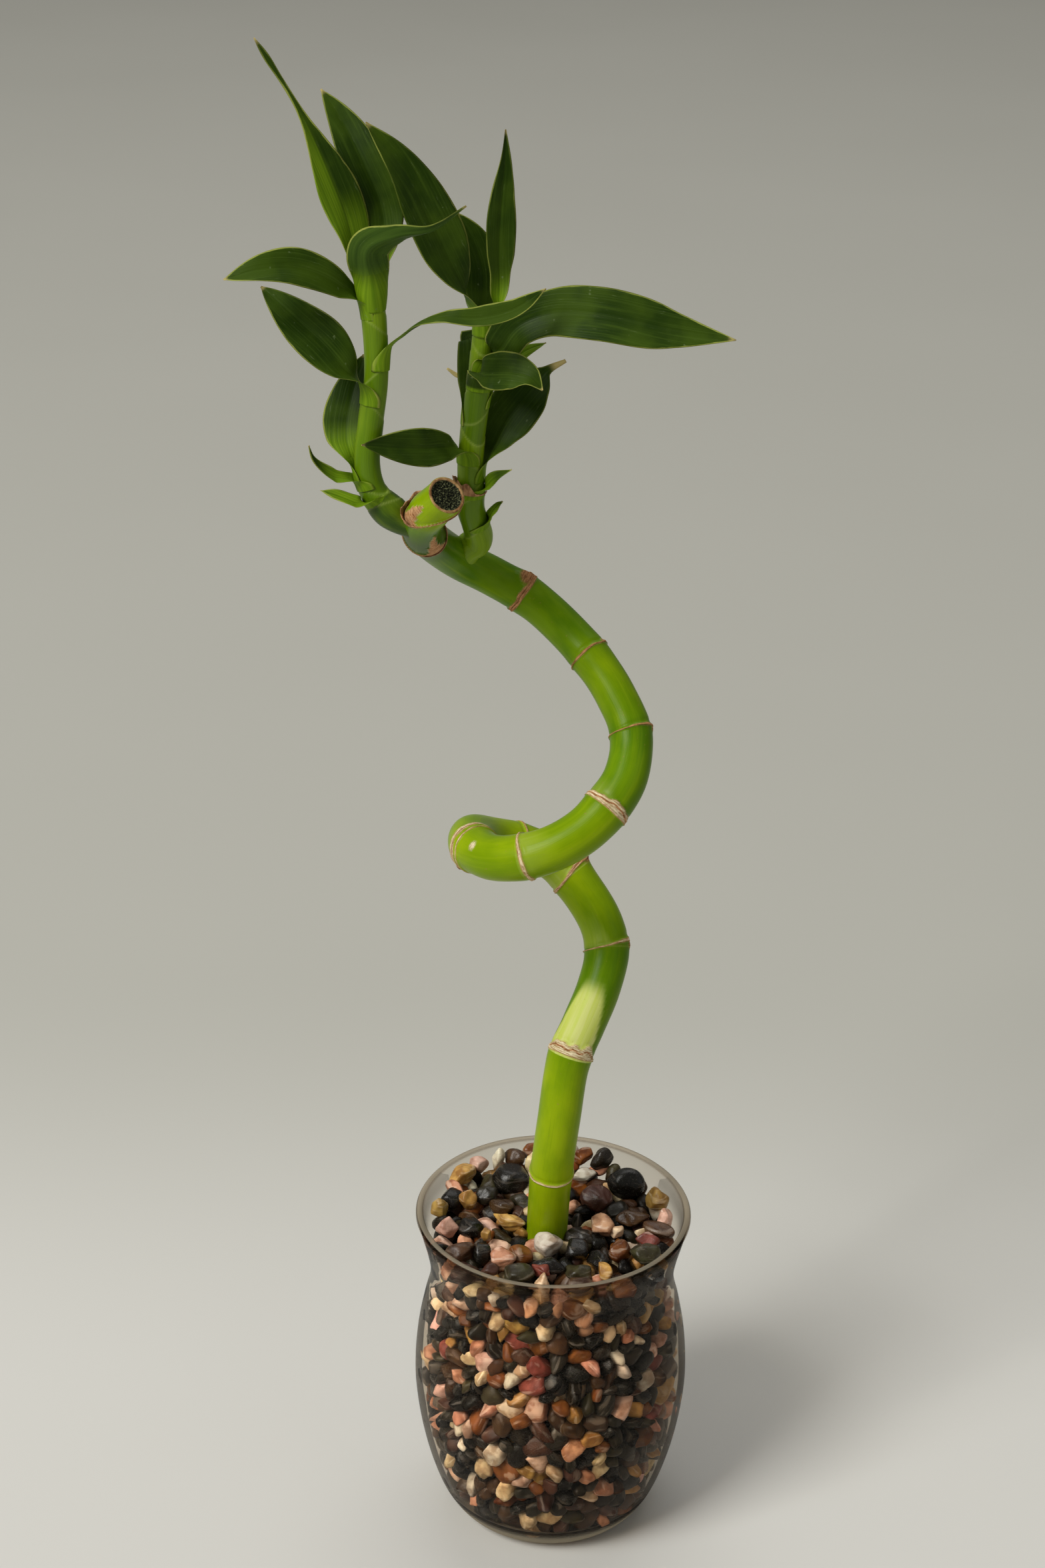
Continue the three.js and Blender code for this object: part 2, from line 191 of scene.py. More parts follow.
class Piece:
    """Gathers closed surfaces into one mesh, with point values and a material for each surface."""

    def __init__(self):
        self.points = []
        self.faces = []
        self.face_materials = []
        self.values = {}
        self.count = 0

    def add(self, points, faces, material=0, **values):
        self.points.append(points)
        self.faces.extend([[self.count + corner for corner in face] for face in faces])
        self.face_materials.extend([material] * len(faces))
        for name, value in values.items():
            self.values.setdefault(name, []).append(value)
        self.count += len(points)

    def add_tube(self, rings, **values):
        """Closed loops of points in rows, ended by a fan at each end."""
        rows, columns = rings.shape[:2]
        points = np.vstack([rings.reshape(-1, 3), rings[0].mean(axis=0), rings[-1].mean(axis=0)])
        start, end, top = rows * columns, rows * columns + 1, (rows - 1) * columns
        faces = strip_faces(rows, columns)
        for column in range(columns):
            beside = (column + 1) % columns
            faces.append([start, beside, column])
            faces.append([end, top + column, top + beside])
        capped = {}
        for name, value in values.items():
            ends = np.stack([value[0].mean(axis=0), value[-1].mean(axis=0)])
            flat = value.reshape(rows * columns, -1)
            capped[name] = np.vstack([flat, ends.reshape(2, -1)]).squeeze()
        self.add(points, faces, **capped)

    def add_hoop(self, rings, material, **values):
        """Closed loops of points in rows that meet again, like a ring."""
        rows, columns = rings.shape[:2]
        flat = {name: value.reshape(rows * columns, -1).squeeze() for name, value in values.items()}
        self.add(rings.reshape(-1, 3), strip_faces(rows, columns, closed_rows=True), material, **flat)

    def make(self, name, materials, slot, nodes):
        """The finished object, which rides on the root body in place of those CAD nodes."""
        mesh = bpy.data.meshes.new(name)
        mesh.from_pydata(np.vstack(self.points) * MM, [], self.faces)
        for material in materials:
            mesh.materials.append(material)
        mesh.polygons.foreach_set("material_index", self.face_materials)
        mesh.polygons.foreach_set("use_smooth", [True] * len(mesh.polygons))
        for value_name, parts in self.values.items():
            store_value(mesh, value_name, np.concatenate(parts))
        mesh.update()
        piece = add_object(name, mesh)
        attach(piece, "root")
        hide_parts(*nodes)
        return piece


def store_value(mesh, name, value):
    kind, field = ("FLOAT", "value") if value.ndim == 1 else ("FLOAT_VECTOR", "vector")
    mesh.attributes.new(name, kind, "POINT").data.foreach_set(field, value.astype(np.float32).ravel())


# ---- Materials ----


class Shader:
    """One material and short ways to add nodes to it."""

    def __init__(self, name, **settings):
        self.material = bpy.data.materials.new(name)
        self.material.use_nodes = True
        self.tree = self.material.node_tree
        self.surface = self.tree.nodes["Principled BSDF"]
        self.output = self.tree.nodes["Material Output"]
        for socket, value in settings.items():
            self.surface.inputs[socket.replace("_", " ")].default_value = value

    def node(self, kind, **inputs):
        added = self.tree.nodes.new(kind)
        for name, value in inputs.items():
            self.feed(added.inputs[name], value)
        return added

    def feed(self, socket, value):
        if isinstance(value, bpy.types.NodeSocket):
            self.tree.links.new(value, socket)
        else:
            socket.default_value = value

    def read(self, name):
        reader = self.tree.nodes.new("ShaderNodeAttribute")
        reader.attribute_name = name
        return reader

    def value(self, name):
        return self.read(name).outputs["Fac"]

    def vector(self, name):
        return self.read(name).outputs["Vector"]

    def place(self):
        return self.node("ShaderNodeTexCoord").outputs["Object"]

    def split(self, vector):
        return self.node("ShaderNodeSeparateXYZ", Vector=vector).outputs

    def maths(self, kind, operation, first, second):
        added = self.tree.nodes.new(kind)
        added.operation = operation
        self.feed(added.inputs[0], first)
        self.feed(added.inputs[1], second)
        return added.outputs[0]

    def plus(self, first, second):
        return self.maths("ShaderNodeMath", "ADD", first, second)

    def minus(self, first, second):
        return self.maths("ShaderNodeMath", "SUBTRACT", first, second)

    def times(self, first, second):
        return self.maths("ShaderNodeMath", "MULTIPLY", first, second)

    def larger(self, first, second):
        return self.maths("ShaderNodeMath", "MAXIMUM", first, second)

    def noise(self, vector, scale, detail=3.0, roughness=0.5):
        """Cloudy noise. The scale is one number, or a row of one for each axis."""
        if isinstance(scale, tuple):
            vector, scale = self.maths("ShaderNodeVectorMath", "MULTIPLY", vector, scale), 1.0
        settings = {"Vector": vector, "Scale": scale, "Detail": detail, "Roughness": roughness}
        return self.node("ShaderNodeTexNoise", **settings).outputs["Fac"]

    def between(self, value, low, high, to_low=0.0, to_high=1.0):
        """Maps low..high smoothly to to_low..to_high."""
        added = self.tree.nodes.new("ShaderNodeMapRange")
        added.interpolation_type = "SMOOTHSTEP"
        for name, number in (("From Min", low), ("From Max", high), ("To Min", to_low), ("To Max", to_high)):
            added.inputs[name].default_value = number
        self.feed(added.inputs["Value"], value)
        return added.outputs["Result"]

    def mix(self, share, first, second, blend="MIX"):
        added = self.tree.nodes.new("ShaderNodeMix")
        added.data_type = "RGBA"
        added.blend_type = blend
        self.feed(added.inputs["Factor"], share)
        for name, colour in (("A", first), ("B", second)):
            socket = next(s for s in added.inputs if s.name == name and s.type == "RGBA")
            self.feed(socket, colour if isinstance(colour, bpy.types.NodeSocket) else (*colour, 1))
        return next(s for s in added.outputs if s.type == "RGBA")

    def blend(self, value, low, high, first, second, most=1.0):
        """The first colour where the value is low, turning to the second, by most at the most."""
        return self.mix(self.between(value, low, high, 0, most), first, second)

    def layer(self, share, first, second):
        """The share of a second surface over a first."""
        added = self.tree.nodes.new("ShaderNodeMixShader")
        for socket, value in zip(added.inputs, (share, first, second)):
            self.feed(socket, value)
        return added.outputs[0]

    def bump(self, height, strength, distance):
        added = self.node("ShaderNodeBump", Height=height, Strength=strength, Distance=distance)
        self.feed(self.surface.inputs["Normal"], added.outputs["Normal"])

    def finish(self, colour, roughness=None):
        self.feed(self.surface.inputs["Base Color"], colour)
        if roughness is not None:
            self.feed(self.surface.inputs["Roughness"], roughness)
        return self.material


# ---- Vase ----

# Outer radius and height at each place where the outline changes
VASE_OUTLINE = [
    (29, 0), (32.8, 3), (36.7, 9), (40, 18), (43, 30), (45, 43), (45.6, 53), (44.7, 67), (42.6, 79),
    (40.7, 87), (40.4, 93), (41.4, 99.5), (43, 106), (44.8, 113),
]
VASE_HEIGHT = 115
VASE_WALL = 2.2
VASE_FLOOR = 6
VASE_FLOOR_RADIUS = 24
FLOOR_ROUND_TOP = 12
LIP_RADIUS = 45.3
LIP_ROUND = 1.3
# How far past a half turn the round of the lip goes at each end, in radians
LIP_EXTRA_TURN = 0.5
# How far below the top of the outline the straight inner wall begins
INNER_WALL_DROP = 1.5
FOOT_RADIUS = 27
PUNT_RADIUS = 21
PUNT_RISE = 1.6
# The rings nearest the axis have this share of the radius of the punt and of the floor
AXIS_SHARE = 0.02
VASE_SIDES = 144
VASE_RISE_STEP = 1.6
GLASS_TINT = (0.97, 0.97, 0.96, 1)
GLASS_SHADOW = (0.95, 0.95, 0.94)
# The tint that light takes on inside the glass, and how fast, per metre
GLASS_BODY = (0.70, 0.57, 0.40, 1)
GLASS_DENSITY = 170
GLASS_BEND = 1.3
GLASS_SHINE = 0.2
GLASS_RIPPLES = (14, 14, 40)
# Share of the light through the glass that gets no gloss from it
GLASS_QUIET = 0.74
# Colours of the painted shade line at the lip, and of the painted light: a glow in the foot and a highlight
# on the lip's crown
GLASS_LIP_SHADE = (0.50, 0.45, 0.39)
GLASS_PAINTED_LIGHT = (0.40, 0.345, 0.255, 1)
# Heights between which each effect in the glass changes, and its share at the lower and the upper
GLASS_EFFECTS = {
    "lip_painted_shade": (113.7, 114.48, 0, 1),
    "rim_clear": (104, 115, 0, 0.82),
    "foot_clear": (0, 11, 0.6, 0),
    "foot_painted_glow": (5.4, 10.2, 0.75, 0),
    "lip_painted_highlight": (114.5, 114.75, 0, 0.42),
}

outer_side = Path([(radius, 0, height) for radius, height in VASE_OUTLINE])


def outer_radius(height):
    return np.interp(height, outer_side.points[:, 2], outer_side.points[:, 0])


def inner_radius(height):
    """Radius of the vase's inner wall at a height, with its rounded floor."""
    wall = outer_radius(height) - VASE_WALL
    corner_wall = outer_radius(FLOOR_ROUND_TOP) - VASE_WALL
    drop = np.clip((FLOOR_ROUND_TOP - height) / (FLOOR_ROUND_TOP - VASE_FLOOR), 0, 1)
    corner = lerp(VASE_FLOOR_RADIUS, corner_wall, np.sqrt(1 - drop**2))
    return np.where(height < FLOOR_ROUND_TOP, corner, wall)


def glass():
    """Clear glass that lets light straight through at its rim and its foot.

    A painted dark line at the lip stands in for its shade, a painted pale line on the lip's crown for
    its highlight, and a painted glow in the thick foot for the light that comes through it.
    """
    shader = Shader(
        "clear_glass",
        Base_Color=GLASS_TINT,
        Roughness=0.0,
        IOR=GLASS_BEND,
        Specular_IOR_Level=GLASS_SHINE,
        Transmission_Weight=1,
    )
    place = shader.place()
    shader.bump(shader.noise(place, GLASS_RIPPLES, 2), 0.03, 0.002)
    height = shader.split(place)["Z"]
    effect = {
        name: shader.between(height, low * MM, high * MM, share_low, share_high)
        for name, (low, high, share_low, share_high) in GLASS_EFFECTS.items()
    }
    bent = shader.node("ShaderNodeBsdfRefraction", Color=GLASS_TINT, Roughness=0.0, IOR=GLASS_BEND)
    wall = shader.layer(GLASS_QUIET, shader.surface.outputs[0], bent.outputs[0])
    # The clear share takes the painted shade line at the lip
    clear = shader.node("ShaderNodeBsdfTransparent")
    shader.feed(clear.inputs["Color"], shader.mix(effect["lip_painted_shade"], GLASS_SHADOW, GLASS_LIP_SHADE))
    in_shadow = shader.node("ShaderNodeLightPath").outputs["Is Shadow Ray"]
    straight = shader.larger(shader.larger(effect["rim_clear"], effect["foot_clear"]), in_shadow)
    wall = shader.layer(straight, wall, clear.outputs[0])
    # A diffuse share: a painted glow in the foot and a painted highlight on the lip's crown
    cloud = shader.node("ShaderNodeBsdfDiffuse", Color=GLASS_PAINTED_LIGHT)
    wall = shader.layer(shader.larger(effect["foot_painted_glow"], effect["lip_painted_highlight"]), wall, cloud.outputs[0])
    shader.feed(shader.output.inputs["Surface"], wall)
    body = shader.node("ShaderNodeVolumeAbsorption", Color=GLASS_BODY, Density=GLASS_DENSITY)
    shader.feed(shader.output.inputs["Volume"], body.outputs[0])
    return shader.material


def make_vase():
    """The glass turned about its axis: punt, foot, outer wall, rounded lip, inner wall and floor."""
    punt = [(PUNT_RADIUS * share, PUNT_RISE * (1 - share**4)) for share in np.linspace(AXIS_SHARE, 1, 8)]
    outer = outer_side.at(np.arange(0, outer_side.length, VASE_RISE_STEP))[:, [0, 2]]
    lip_radius, lip_height = LIP_RADIUS - LIP_ROUND, VASE_HEIGHT - LIP_ROUND
    lip_turns = np.linspace(-LIP_EXTRA_TURN, math.pi + LIP_EXTRA_TURN, 12)
    lip = [(lip_radius + LIP_ROUND * math.cos(t), lip_height + LIP_ROUND * math.sin(t)) for t in lip_turns]
    heights = np.arange(VASE_OUTLINE[-1][1] - INNER_WALL_DROP, FLOOR_ROUND_TOP, -VASE_RISE_STEP)
    wall = list(zip(inner_radius(heights), heights))
    heights = VASE_FLOOR + (FLOOR_ROUND_TOP - VASE_FLOOR) * (1 - np.sin(np.linspace(0.1, 1.57, 9)))
    corner = list(zip(inner_radius(heights), heights))
    floor = [(VASE_FLOOR_RADIUS * share, VASE_FLOOR) for share in (0.85, 0.6, 0.3, AXIS_SHARE)]
    profile = np.array([*punt, (FOOT_RADIUS, 0), *outer, *lip, *wall, *corner, *floor])
    vase = Piece()
    vase.add_tube(round_places(profile[:, :1], full_turn(VASE_SIDES), profile[:, 1:]))
    return vase.make("glass_vase_clear", [glass()], "vase_glass", ["glass_vase"])


# ---- Stalk ----

# The centre of the cane from its cut lower end to the cut stub at the top
STALK_PATH = [
    (-3, 6, 24), (-3, 5, 66), (-2, 0, 106), (-1, -8, 134), (1, -10, 155), (4, -6.5, 176),
    (8.5, -2, 186), (13, 4, 195.5), (15.5, 10.5, 205), (14, 15, 212), (8.5, 21, 220), (-1, 26, 229.5),
    (-12, 24.5, 235.5), (-22, 18, 241), (-27.5, 7, 247), (-27, -4.5, 249.5), (-20.5, -16, 251.5),
    (-11, -21, 254.5), (-1.5, -22, 258.5), (7, -20, 263.5), (14, -16, 270), (19, -11, 277),
    (20.5, -2, 287), (16, 5.5, 296), (10, 12, 303.5), (0.5, 19.5, 312), (-10, 24, 320),
    (-22, 23.5, 327.5), (-32, 17.5, 335), (-39.5, 3, 346), (-42, -12, 355), (-40, -25, 365),
    (-34.5, -32.5, 373),
]
# Height and cane radius
STALK_RADII = [(24, 6.2), (106, 6.75), (200, 7), (272, 7), (287, 6.3), (335, 6), (373, 5.5)]
STALK_SEED = 3
STALK_SIDES = 56
STALK_STEP = 1.5
# Distance between rows of points near a ring, and how far to each side of it they are that close
RING_STEP = 0.22
RING_REACH = 9
RING_SLANT = 7
RING_POINT_WIDTH = 0.35
SCAR_RISE = 0.32
NODE_SWELL = 0.25
NODE_REACH = 4
# Raised and sunken lines along a ring: how many band widths above its lower edge and how far above
# that, rise and reach
RING_LINES = [(0, 0, 0.16, 0.35), (1, 0, 0.14, 0.3), (1, 0.9, -0.12, 0.6)]
# The sawn face of the stub: how deep its core is dished, how high its rim stands, and how torn it is
CUT_DISH = 0.7
CUT_LIP = 0.35
CUT_TORN = 0.28
# Shares of the stub's radius at which the sawn face has its rows of points
CUT_SHARES = (1.02, 0.985, 0.94, 0.88, *np.linspace(0.82, 0.03, 22))
# Each ring: height, band width where it is narrow and where it is broad, the way its broad side
# faces, how brown it is from 0 to 1, and the slope of the ring across the cane
STALK_RINGS = [
    (134, 0.6, 0.8, (-1, -1, 0), 0.05, 0.0),
    (177, 0.8, 2.8, (-0.3, -1, 0), 0.0, 0.1),
    (206, 0.5, 0.8, (1, 0, 0), 0.15, 0.25),
    (225, 1.0, 2.4, (1, 0.2, 0.6), 0.3, 0.15),
    (236.5, 0.6, 0.9, (-1, 0, 0), 0.3, 0.0),
    (249.5, 1.1, 2.0, (-1, -0.4, 0.4), 0.05, 0.1),
    (250, 0.3, 0.6, (-1, -0.4, 0.4), 0.1, 0.1),
    (254.5, 0.7, 1.1, (-0.2, -1, -0.3), 0.15, 0.1),
    (268.5, 1.4, 2.5, (-0.2, -1, 0.4), 0.1, 0.0),
    (287, 0.5, 0.7, (1, -0.2, 0), 0.6, 0.12),
    (305.5, 0.5, 0.7, (-0.5, -1, 0), 0.7, 0.05),
    (321.5, 1.1, 2.0, (-0.6, -1, -0.2), 0.55, 0.1),
    (352, 1.1, 2.2, (0.85, -0.3, -0.4), 0.5, -0.65),
    (366, 0.8, 2.2, (-0.93, 0.19, 0.32), 0.45, -1.2),
]
# Pointed rises of a ring where a bud sat: ring height, the way it faces, how far it rises
RING_POINTS = [
    (177, (0.55, -0.8, 0.1), 2.6),
    (225, (0.69, -0.07, 0.72), 2.0),
    (268.5, (0.3, -0.9, 0.3), 0.8),
    (321.5, (0.5, 0.15, 0.8), 1.5),
    (352, (0.62, -0.45, -0.64), 16.0),
    (366, (-0.88, -0.47, 0.04), 9.0),
]
# Pale young skin above a ring, which at 254.5 is partly a painted highlight: ring height, the way
# it faces, how far up it reaches, how strong it is, and the share of its reach at which it begins
# to fade
PALE_SKIN_AND_HIGHLIGHT_ZONES = [
    (177, (-0.35, -0.9, 0.25), 25, 0.9, 0.75),
    (206, (-0.9, -0.6, 0.1), 14, 0.15, 0.1),
    (225, (-0.6, -0.8, -0.2), 10, 0.3, 0.1),
    (254.5, (0, -0.7, 0.7), 12, 0.16, 0.1),
    (268.5, (-0.8, -0.3, 0.6), 9, 0.2, 0.1),
]
# Small dry buds beside rings: height, the way they face, size
CANE_BUDS = [
    (206, (1, -0.3, 0), 1.0),
    (225.6, (0.69, -0.07, 0.72), 3.0),
    (287, (1, -0.3, 0), 0.8),
    (305.5, (0.9, -0.3, 0.5), 0.9),
    (322, (0.49, -0.38, 0.79), 2.8),
    (249.5, (-0.3, -1, -0.6), 1.0),
]
BUD_RISE = 0.55
BUD_BROWN = 0.75
# How deep the green is by height: 0 is light, 1 deep and 2 deepest. The lighter dip from 288
# to 306 is a painted highlight.
STALK_DEEP_AND_HIGHLIGHT = [
    (24, 0.12), (170, 0.2), (179, 0.8), (205, 1.0), (208, 0.6), (222, 0.3), (240, 0.3), (266, 0.35),
    (271, 0.95), (287, 1.0), (291, 0.7), (302, 0.55), (308, 0.9), (340, 1.0), (347, 1.5), (356, 1.8),
    (362, 1.3), (367, 0.45), (373, 0.35),
]
# A dry spot on the front of the turn: its middle and its size
SCAR_SPOT = (-26.8, -16, 255.3)
SCAR_SPOT_SIZE = 1.6
# Torn dry leaf bases: height, length, flare, the way the longest part faces, and slope
CANE_COLLARS = [
    (352, 2.6, 0.5, (0.85, -0.3, -0.4), -0.65),
    (366, 4.0, 1.6, (-0.93, 0.19, 0.32), -1.2),
]
SHOOT_COLLARS = [(361.8, 4.6, 0.7, (-0.9, -0.5, 0), 0.06)]
COLLAR_TURNS = 96
COLLAR_ROWS = 8
# How far the two faces of a collar stand off the skin
COLLAR_OUTSIDE = 0.5
COLLAR_INSIDE = 0.25

stalk_path = Path(STALK_PATH)


def ring_distances():
    """Distances along the cane at which rows of points lie, close together at each ring."""
    places = list(np.arange(0, stalk_path.length, STALK_STEP))
    for height, *_ in STALK_RINGS:
        place = stalk_path.reach_height(height)
        places = [p for p in places if abs(p - place) > RING_REACH]
        places.extend(np.arange(place - RING_REACH, place + RING_REACH, RING_STEP))
    places.append(stalk_path.length)
    kept = [0.0]
    for place in sorted(places):
        if kept[-1] + RING_STEP * 0.8 < place <= stalk_path.length:
            kept.append(place)
    return np.array(kept)


def stalk_radius(distances):
    return read_table(STALK_RADII, stalk_path.at(distances)[..., 2])


def compass(bearing):
    """The level direction at a bearing in degrees from +X towards +Y."""
    return np.array([math.cos(math.radians(bearing)), math.sin(math.radians(bearing)), 0.0])


def facing(outward, direction):
    return outward @ unit(np.array(direction, dtype=float))


def turned_from(outward, direction):
    """The angle round the stem from the side that faces a direction, for each row of points."""
    cosine = facing(outward, direction)
    return np.arccos(np.clip(cosine / cosine.max(axis=1, keepdims=True), -1, 1))


def round_path(path, distances, sides):
    """Centres, outward directions and turn angles for rows of points round a path.

    A stem's material reads the skin value, which places the same points as if the stem were
    straight, so that its grain runs along the stem.
    """
    turns = full_turn(sides)
    side = path.side_at(distances)[:, None, :]
    other = np.cross(path.tangent_at(distances)[:, None, :], side)
    outward = np.cos(turns)[:, None] * side + np.sin(turns)[:, None] * other
    return path.at(distances)[:, None, :], outward, turns


def make_stalk():
    rng = np.random.default_rng(STALK_SEED)
    distances = ring_distances()
    centre, outward, turns = round_path(stalk_path, distances, STALK_SIDES)
    along = distances[:, None] + 0 * turns
    marks = {name: np.zeros_like(along) for name in ("scar", "brown", "pale", "cut")}
    # How deep the green is, with a painted highlight where it is lighter between 288 and 306
    marks["deep"] = read_table(STALK_DEEP_AND_HIGHLIGHT, centre[..., 2]) + 0 * along
    marks["radius"] = read_table(STALK_RADII, centre[..., 2]) + 0 * along
    for ring in STALK_RINGS:
        mark_ring(marks, ring, along, outward, turns, rng)
    # Pale young skin above rings, and a painted highlight above the ring at 254.5
    for height, way, reach, strength, fade in PALE_SKIN_AND_HIGHLIGHT_ZONES:
        above = along - stalk_path.reach_height(height)
        arch = reach * smoothstep(facing(outward, way), 0.15, 0.9)
        zone = strength * (above > 0) * (1 - smoothstep(above, arch * fade, arch + 0.5))
        marks["pale"] = np.maximum(marks["pale"], zone)
    for height, way, size in CANE_BUDS:
        above = along - stalk_path.reach_height(height) - 0.6 * size
        across = turned_from(outward, way) * marks["radius"]
        bud = bell(np.hypot(above, across), size)
        marks["radius"] += BUD_RISE * size * bud
        marks["scar"] = np.maximum(marks["scar"], smoothstep(bud, 0.25, 0.6))
        marks["brown"] = np.where(bud > 0.3, BUD_BROWN, marks["brown"])
    radius = marks.pop("radius")
    points = centre + outward * radius[..., None]
    spot = bell(np.linalg.norm(points - np.array(SCAR_SPOT), axis=-1), SCAR_SPOT_SIZE)
    marks["scar"] = np.maximum(marks["scar"], smoothstep(spot, 0.3, 0.7))
    rings = {"points": points, "skin": round_places(radius, turns, along), **marks}
    rings = with_cut_end(rings, centre[-1], outward[-1], turns, distances[-1], rng)
    stalk = Piece()
    stalk.add_tube(rings.pop("points"), **rings)
    add_dry_collars(stalk, stalk_path, stalk_radius, CANE_COLLARS, rng, marks)
    return stalk.make("cane", [cane_skin(), dry_skin()], "cane_skin", ["stalk"])


def mark_ring(marks, ring, along, outward, turns, rng):
    """Marks a leaf scar: a raised ragged band, with a browner line inside it and along its edges."""
    height, narrow, broad, way, tone, slope = ring
    place = stalk_path.reach_height(height)
    toward = facing(outward, way)
    lower = place + slope * RING_SLANT * toward + 0.35 * wave(turns, rng, 7)
    ragged = 0.3 * wave(turns, rng, 14, 0.4)
    width = lerp(narrow, broad, smoothstep(toward, -0.2, 1)) * (1 + ragged)
    for point_height, point_way, rise in RING_POINTS:
        if point_height == height:
            point = bell(turned_from(outward, point_way), RING_POINT_WIDTH)
            width = width + rise * point * (1 + 1.5 * ragged)
    above = along - lower
    band = smoothstep(above, -0.18, 0.12) * (1 - smoothstep(above, width - 0.2, width + 0.25))
    frayed = 0.75 + 0.25 * wave(turns, rng, 26, 0.1)
    marks["radius"] += SCAR_RISE * band * frayed + NODE_SWELL * bell(along - place, NODE_REACH)
    marks["radius"] += sum(
        rise * bell(above - widths * width - offset, reach) for widths, offset, rise, reach in RING_LINES
    )
    marks["scar"] = np.maximum(marks["scar"], band)
    inner_line = 0.55 * width + 0.3 * wave(turns, rng, 9, 0.5)
    line = bell(above - inner_line, 0.2) * smoothstep(width, 1.2, 1.8)
    line = np.maximum(line, 0.8 * bell(above + 0.05, 0.18))
    line = np.maximum(line, 0.6 * bell(above - width - 0.05, 0.18))
    marks["brown"] = np.where(band > 0.02, tone + (1 - tone) * line, marks["brown"])


def with_cut_end(rings, centre, outward, turns, along, rng):
    """Adds the rows of the sawn face: a rounded dry rim, then a dished core of torn fibres."""
    tip_radius = STALK_RADII[-1][1]
    upward = stalk_path.tangents[-1]
    added = {name: [] for name in rings}
    for share in CUT_SHARES:
        rim = smoothstep(share, 0.8, 0.9)
        torn = CUT_TORN * rng.uniform(-1, 1, len(turns)) * (1 - rim) * smoothstep(share, 0, 0.2)
        height = CUT_LIP * bell(share - 0.93, 0.06) - CUT_DISH * (1 - smoothstep(share, 0.6, 0.88)) + torn
        row = {name: np.zeros(len(turns)) for name in rings}
        row["points"] = centre + outward * tip_radius * share + height[:, None] * upward
        row["skin"] = round_places(tip_radius * share, turns, along)
        row["cut"] += (1.0 if share < 1 else 0.4) * lerp(0.5, 1.0, 1 - rim)
        for name in added:
            added[name].append(row[name])
    return {name: np.concatenate([rings[name], np.stack(rows)]) for name, rows in added.items()}


def add_dry_collars(piece, path, radius_at, collars, rng, values):
    """Rings of torn skin round a stem, each in the second material of its piece."""
    for height, length, flare, way, slope in collars:
        place = path.reach_height(height)
        _, outward, turns = round_path(path, np.array([place]), COLLAR_TURNS)
        toward = facing(outward[0], way)
        torn = length * lerp(0.12, 1, smoothstep(toward, 0, 0.8)) * (0.75 + 0.25 * wave(turns, rng, 18, 0.3))
        start, spread = place + slope * RING_SLANT * toward, flare * torn / length

        def row(share, lift):
            distances = start + torn * share
            side = path.side_at(distances)
            other = np.cross(path.tangent_at(distances), side)
            radius = radius_at(distances) + (lift + spread * share**2)
            around = (np.cos(turns) * radius)[:, None] * side + (np.sin(turns) * radius)[:, None] * other
            return path.at(distances) + around

        shares = np.linspace(0, 1, COLLAR_ROWS)
        outer = [row(share, COLLAR_OUTSIDE) for share in shares]
        inner = [row(share, COLLAR_INSIDE) for share in shares[::-1]]
        rings = np.stack([*outer, *inner], axis=1)[:, ::-1]
        none = np.zeros(rings.shape[:2])
        piece.add_hoop(rings, material=1, skin=rings, **{name: none for name in values})


# Colours of the skin: the first of a pair is where its noise is low
CANE_LIGHT = ((0.195, 0.305, 0.001), (0.310, 0.410, 0.002))
CANE_DEEP = ((0.062, 0.150, 0.001), (0.120, 0.225, 0.002))
CANE_DEEPEST = (0.030, 0.070, 0.001)
CANE_STREAK = (0.30, 0.40, 0.008)
CANE_FIBRE = (0.05, 0.11, 0.002)
CANE_PALE = ((0.50, 0.56, 0.10), (0.60, 0.62, 0.22))
CANE_SPECK = (0.30, 0.17, 0.06)
SCAR_TAN = ((0.34, 0.23, 0.10), (0.78, 0.68, 0.46))
SCAR_COPPER = ((0.20, 0.078, 0.026), (0.60, 0.31, 0.14))
SCAR_UMBER = ((0.045, 0.018, 0.007), (0.20, 0.085, 0.03))
CUT_CORE = ((0.006, 0.007, 0.004), (0.14, 0.15, 0.07))
CUT_RIM = ((0.17, 0.08, 0.03), (0.42, 0.26, 0.11))
DRY_SKIN = ((0.16, 0.065, 0.025), (0.50, 0.27, 0.13))
CANE_SHINE = 0.07
CANE_ROUGHNESS = 0.29
SCAR_ROUGHNESS = 0.80
CUT_ROUGHNESS = 0.9
DRY_SHINE = 0.25
DRY_ROUGHNESS = 0.8


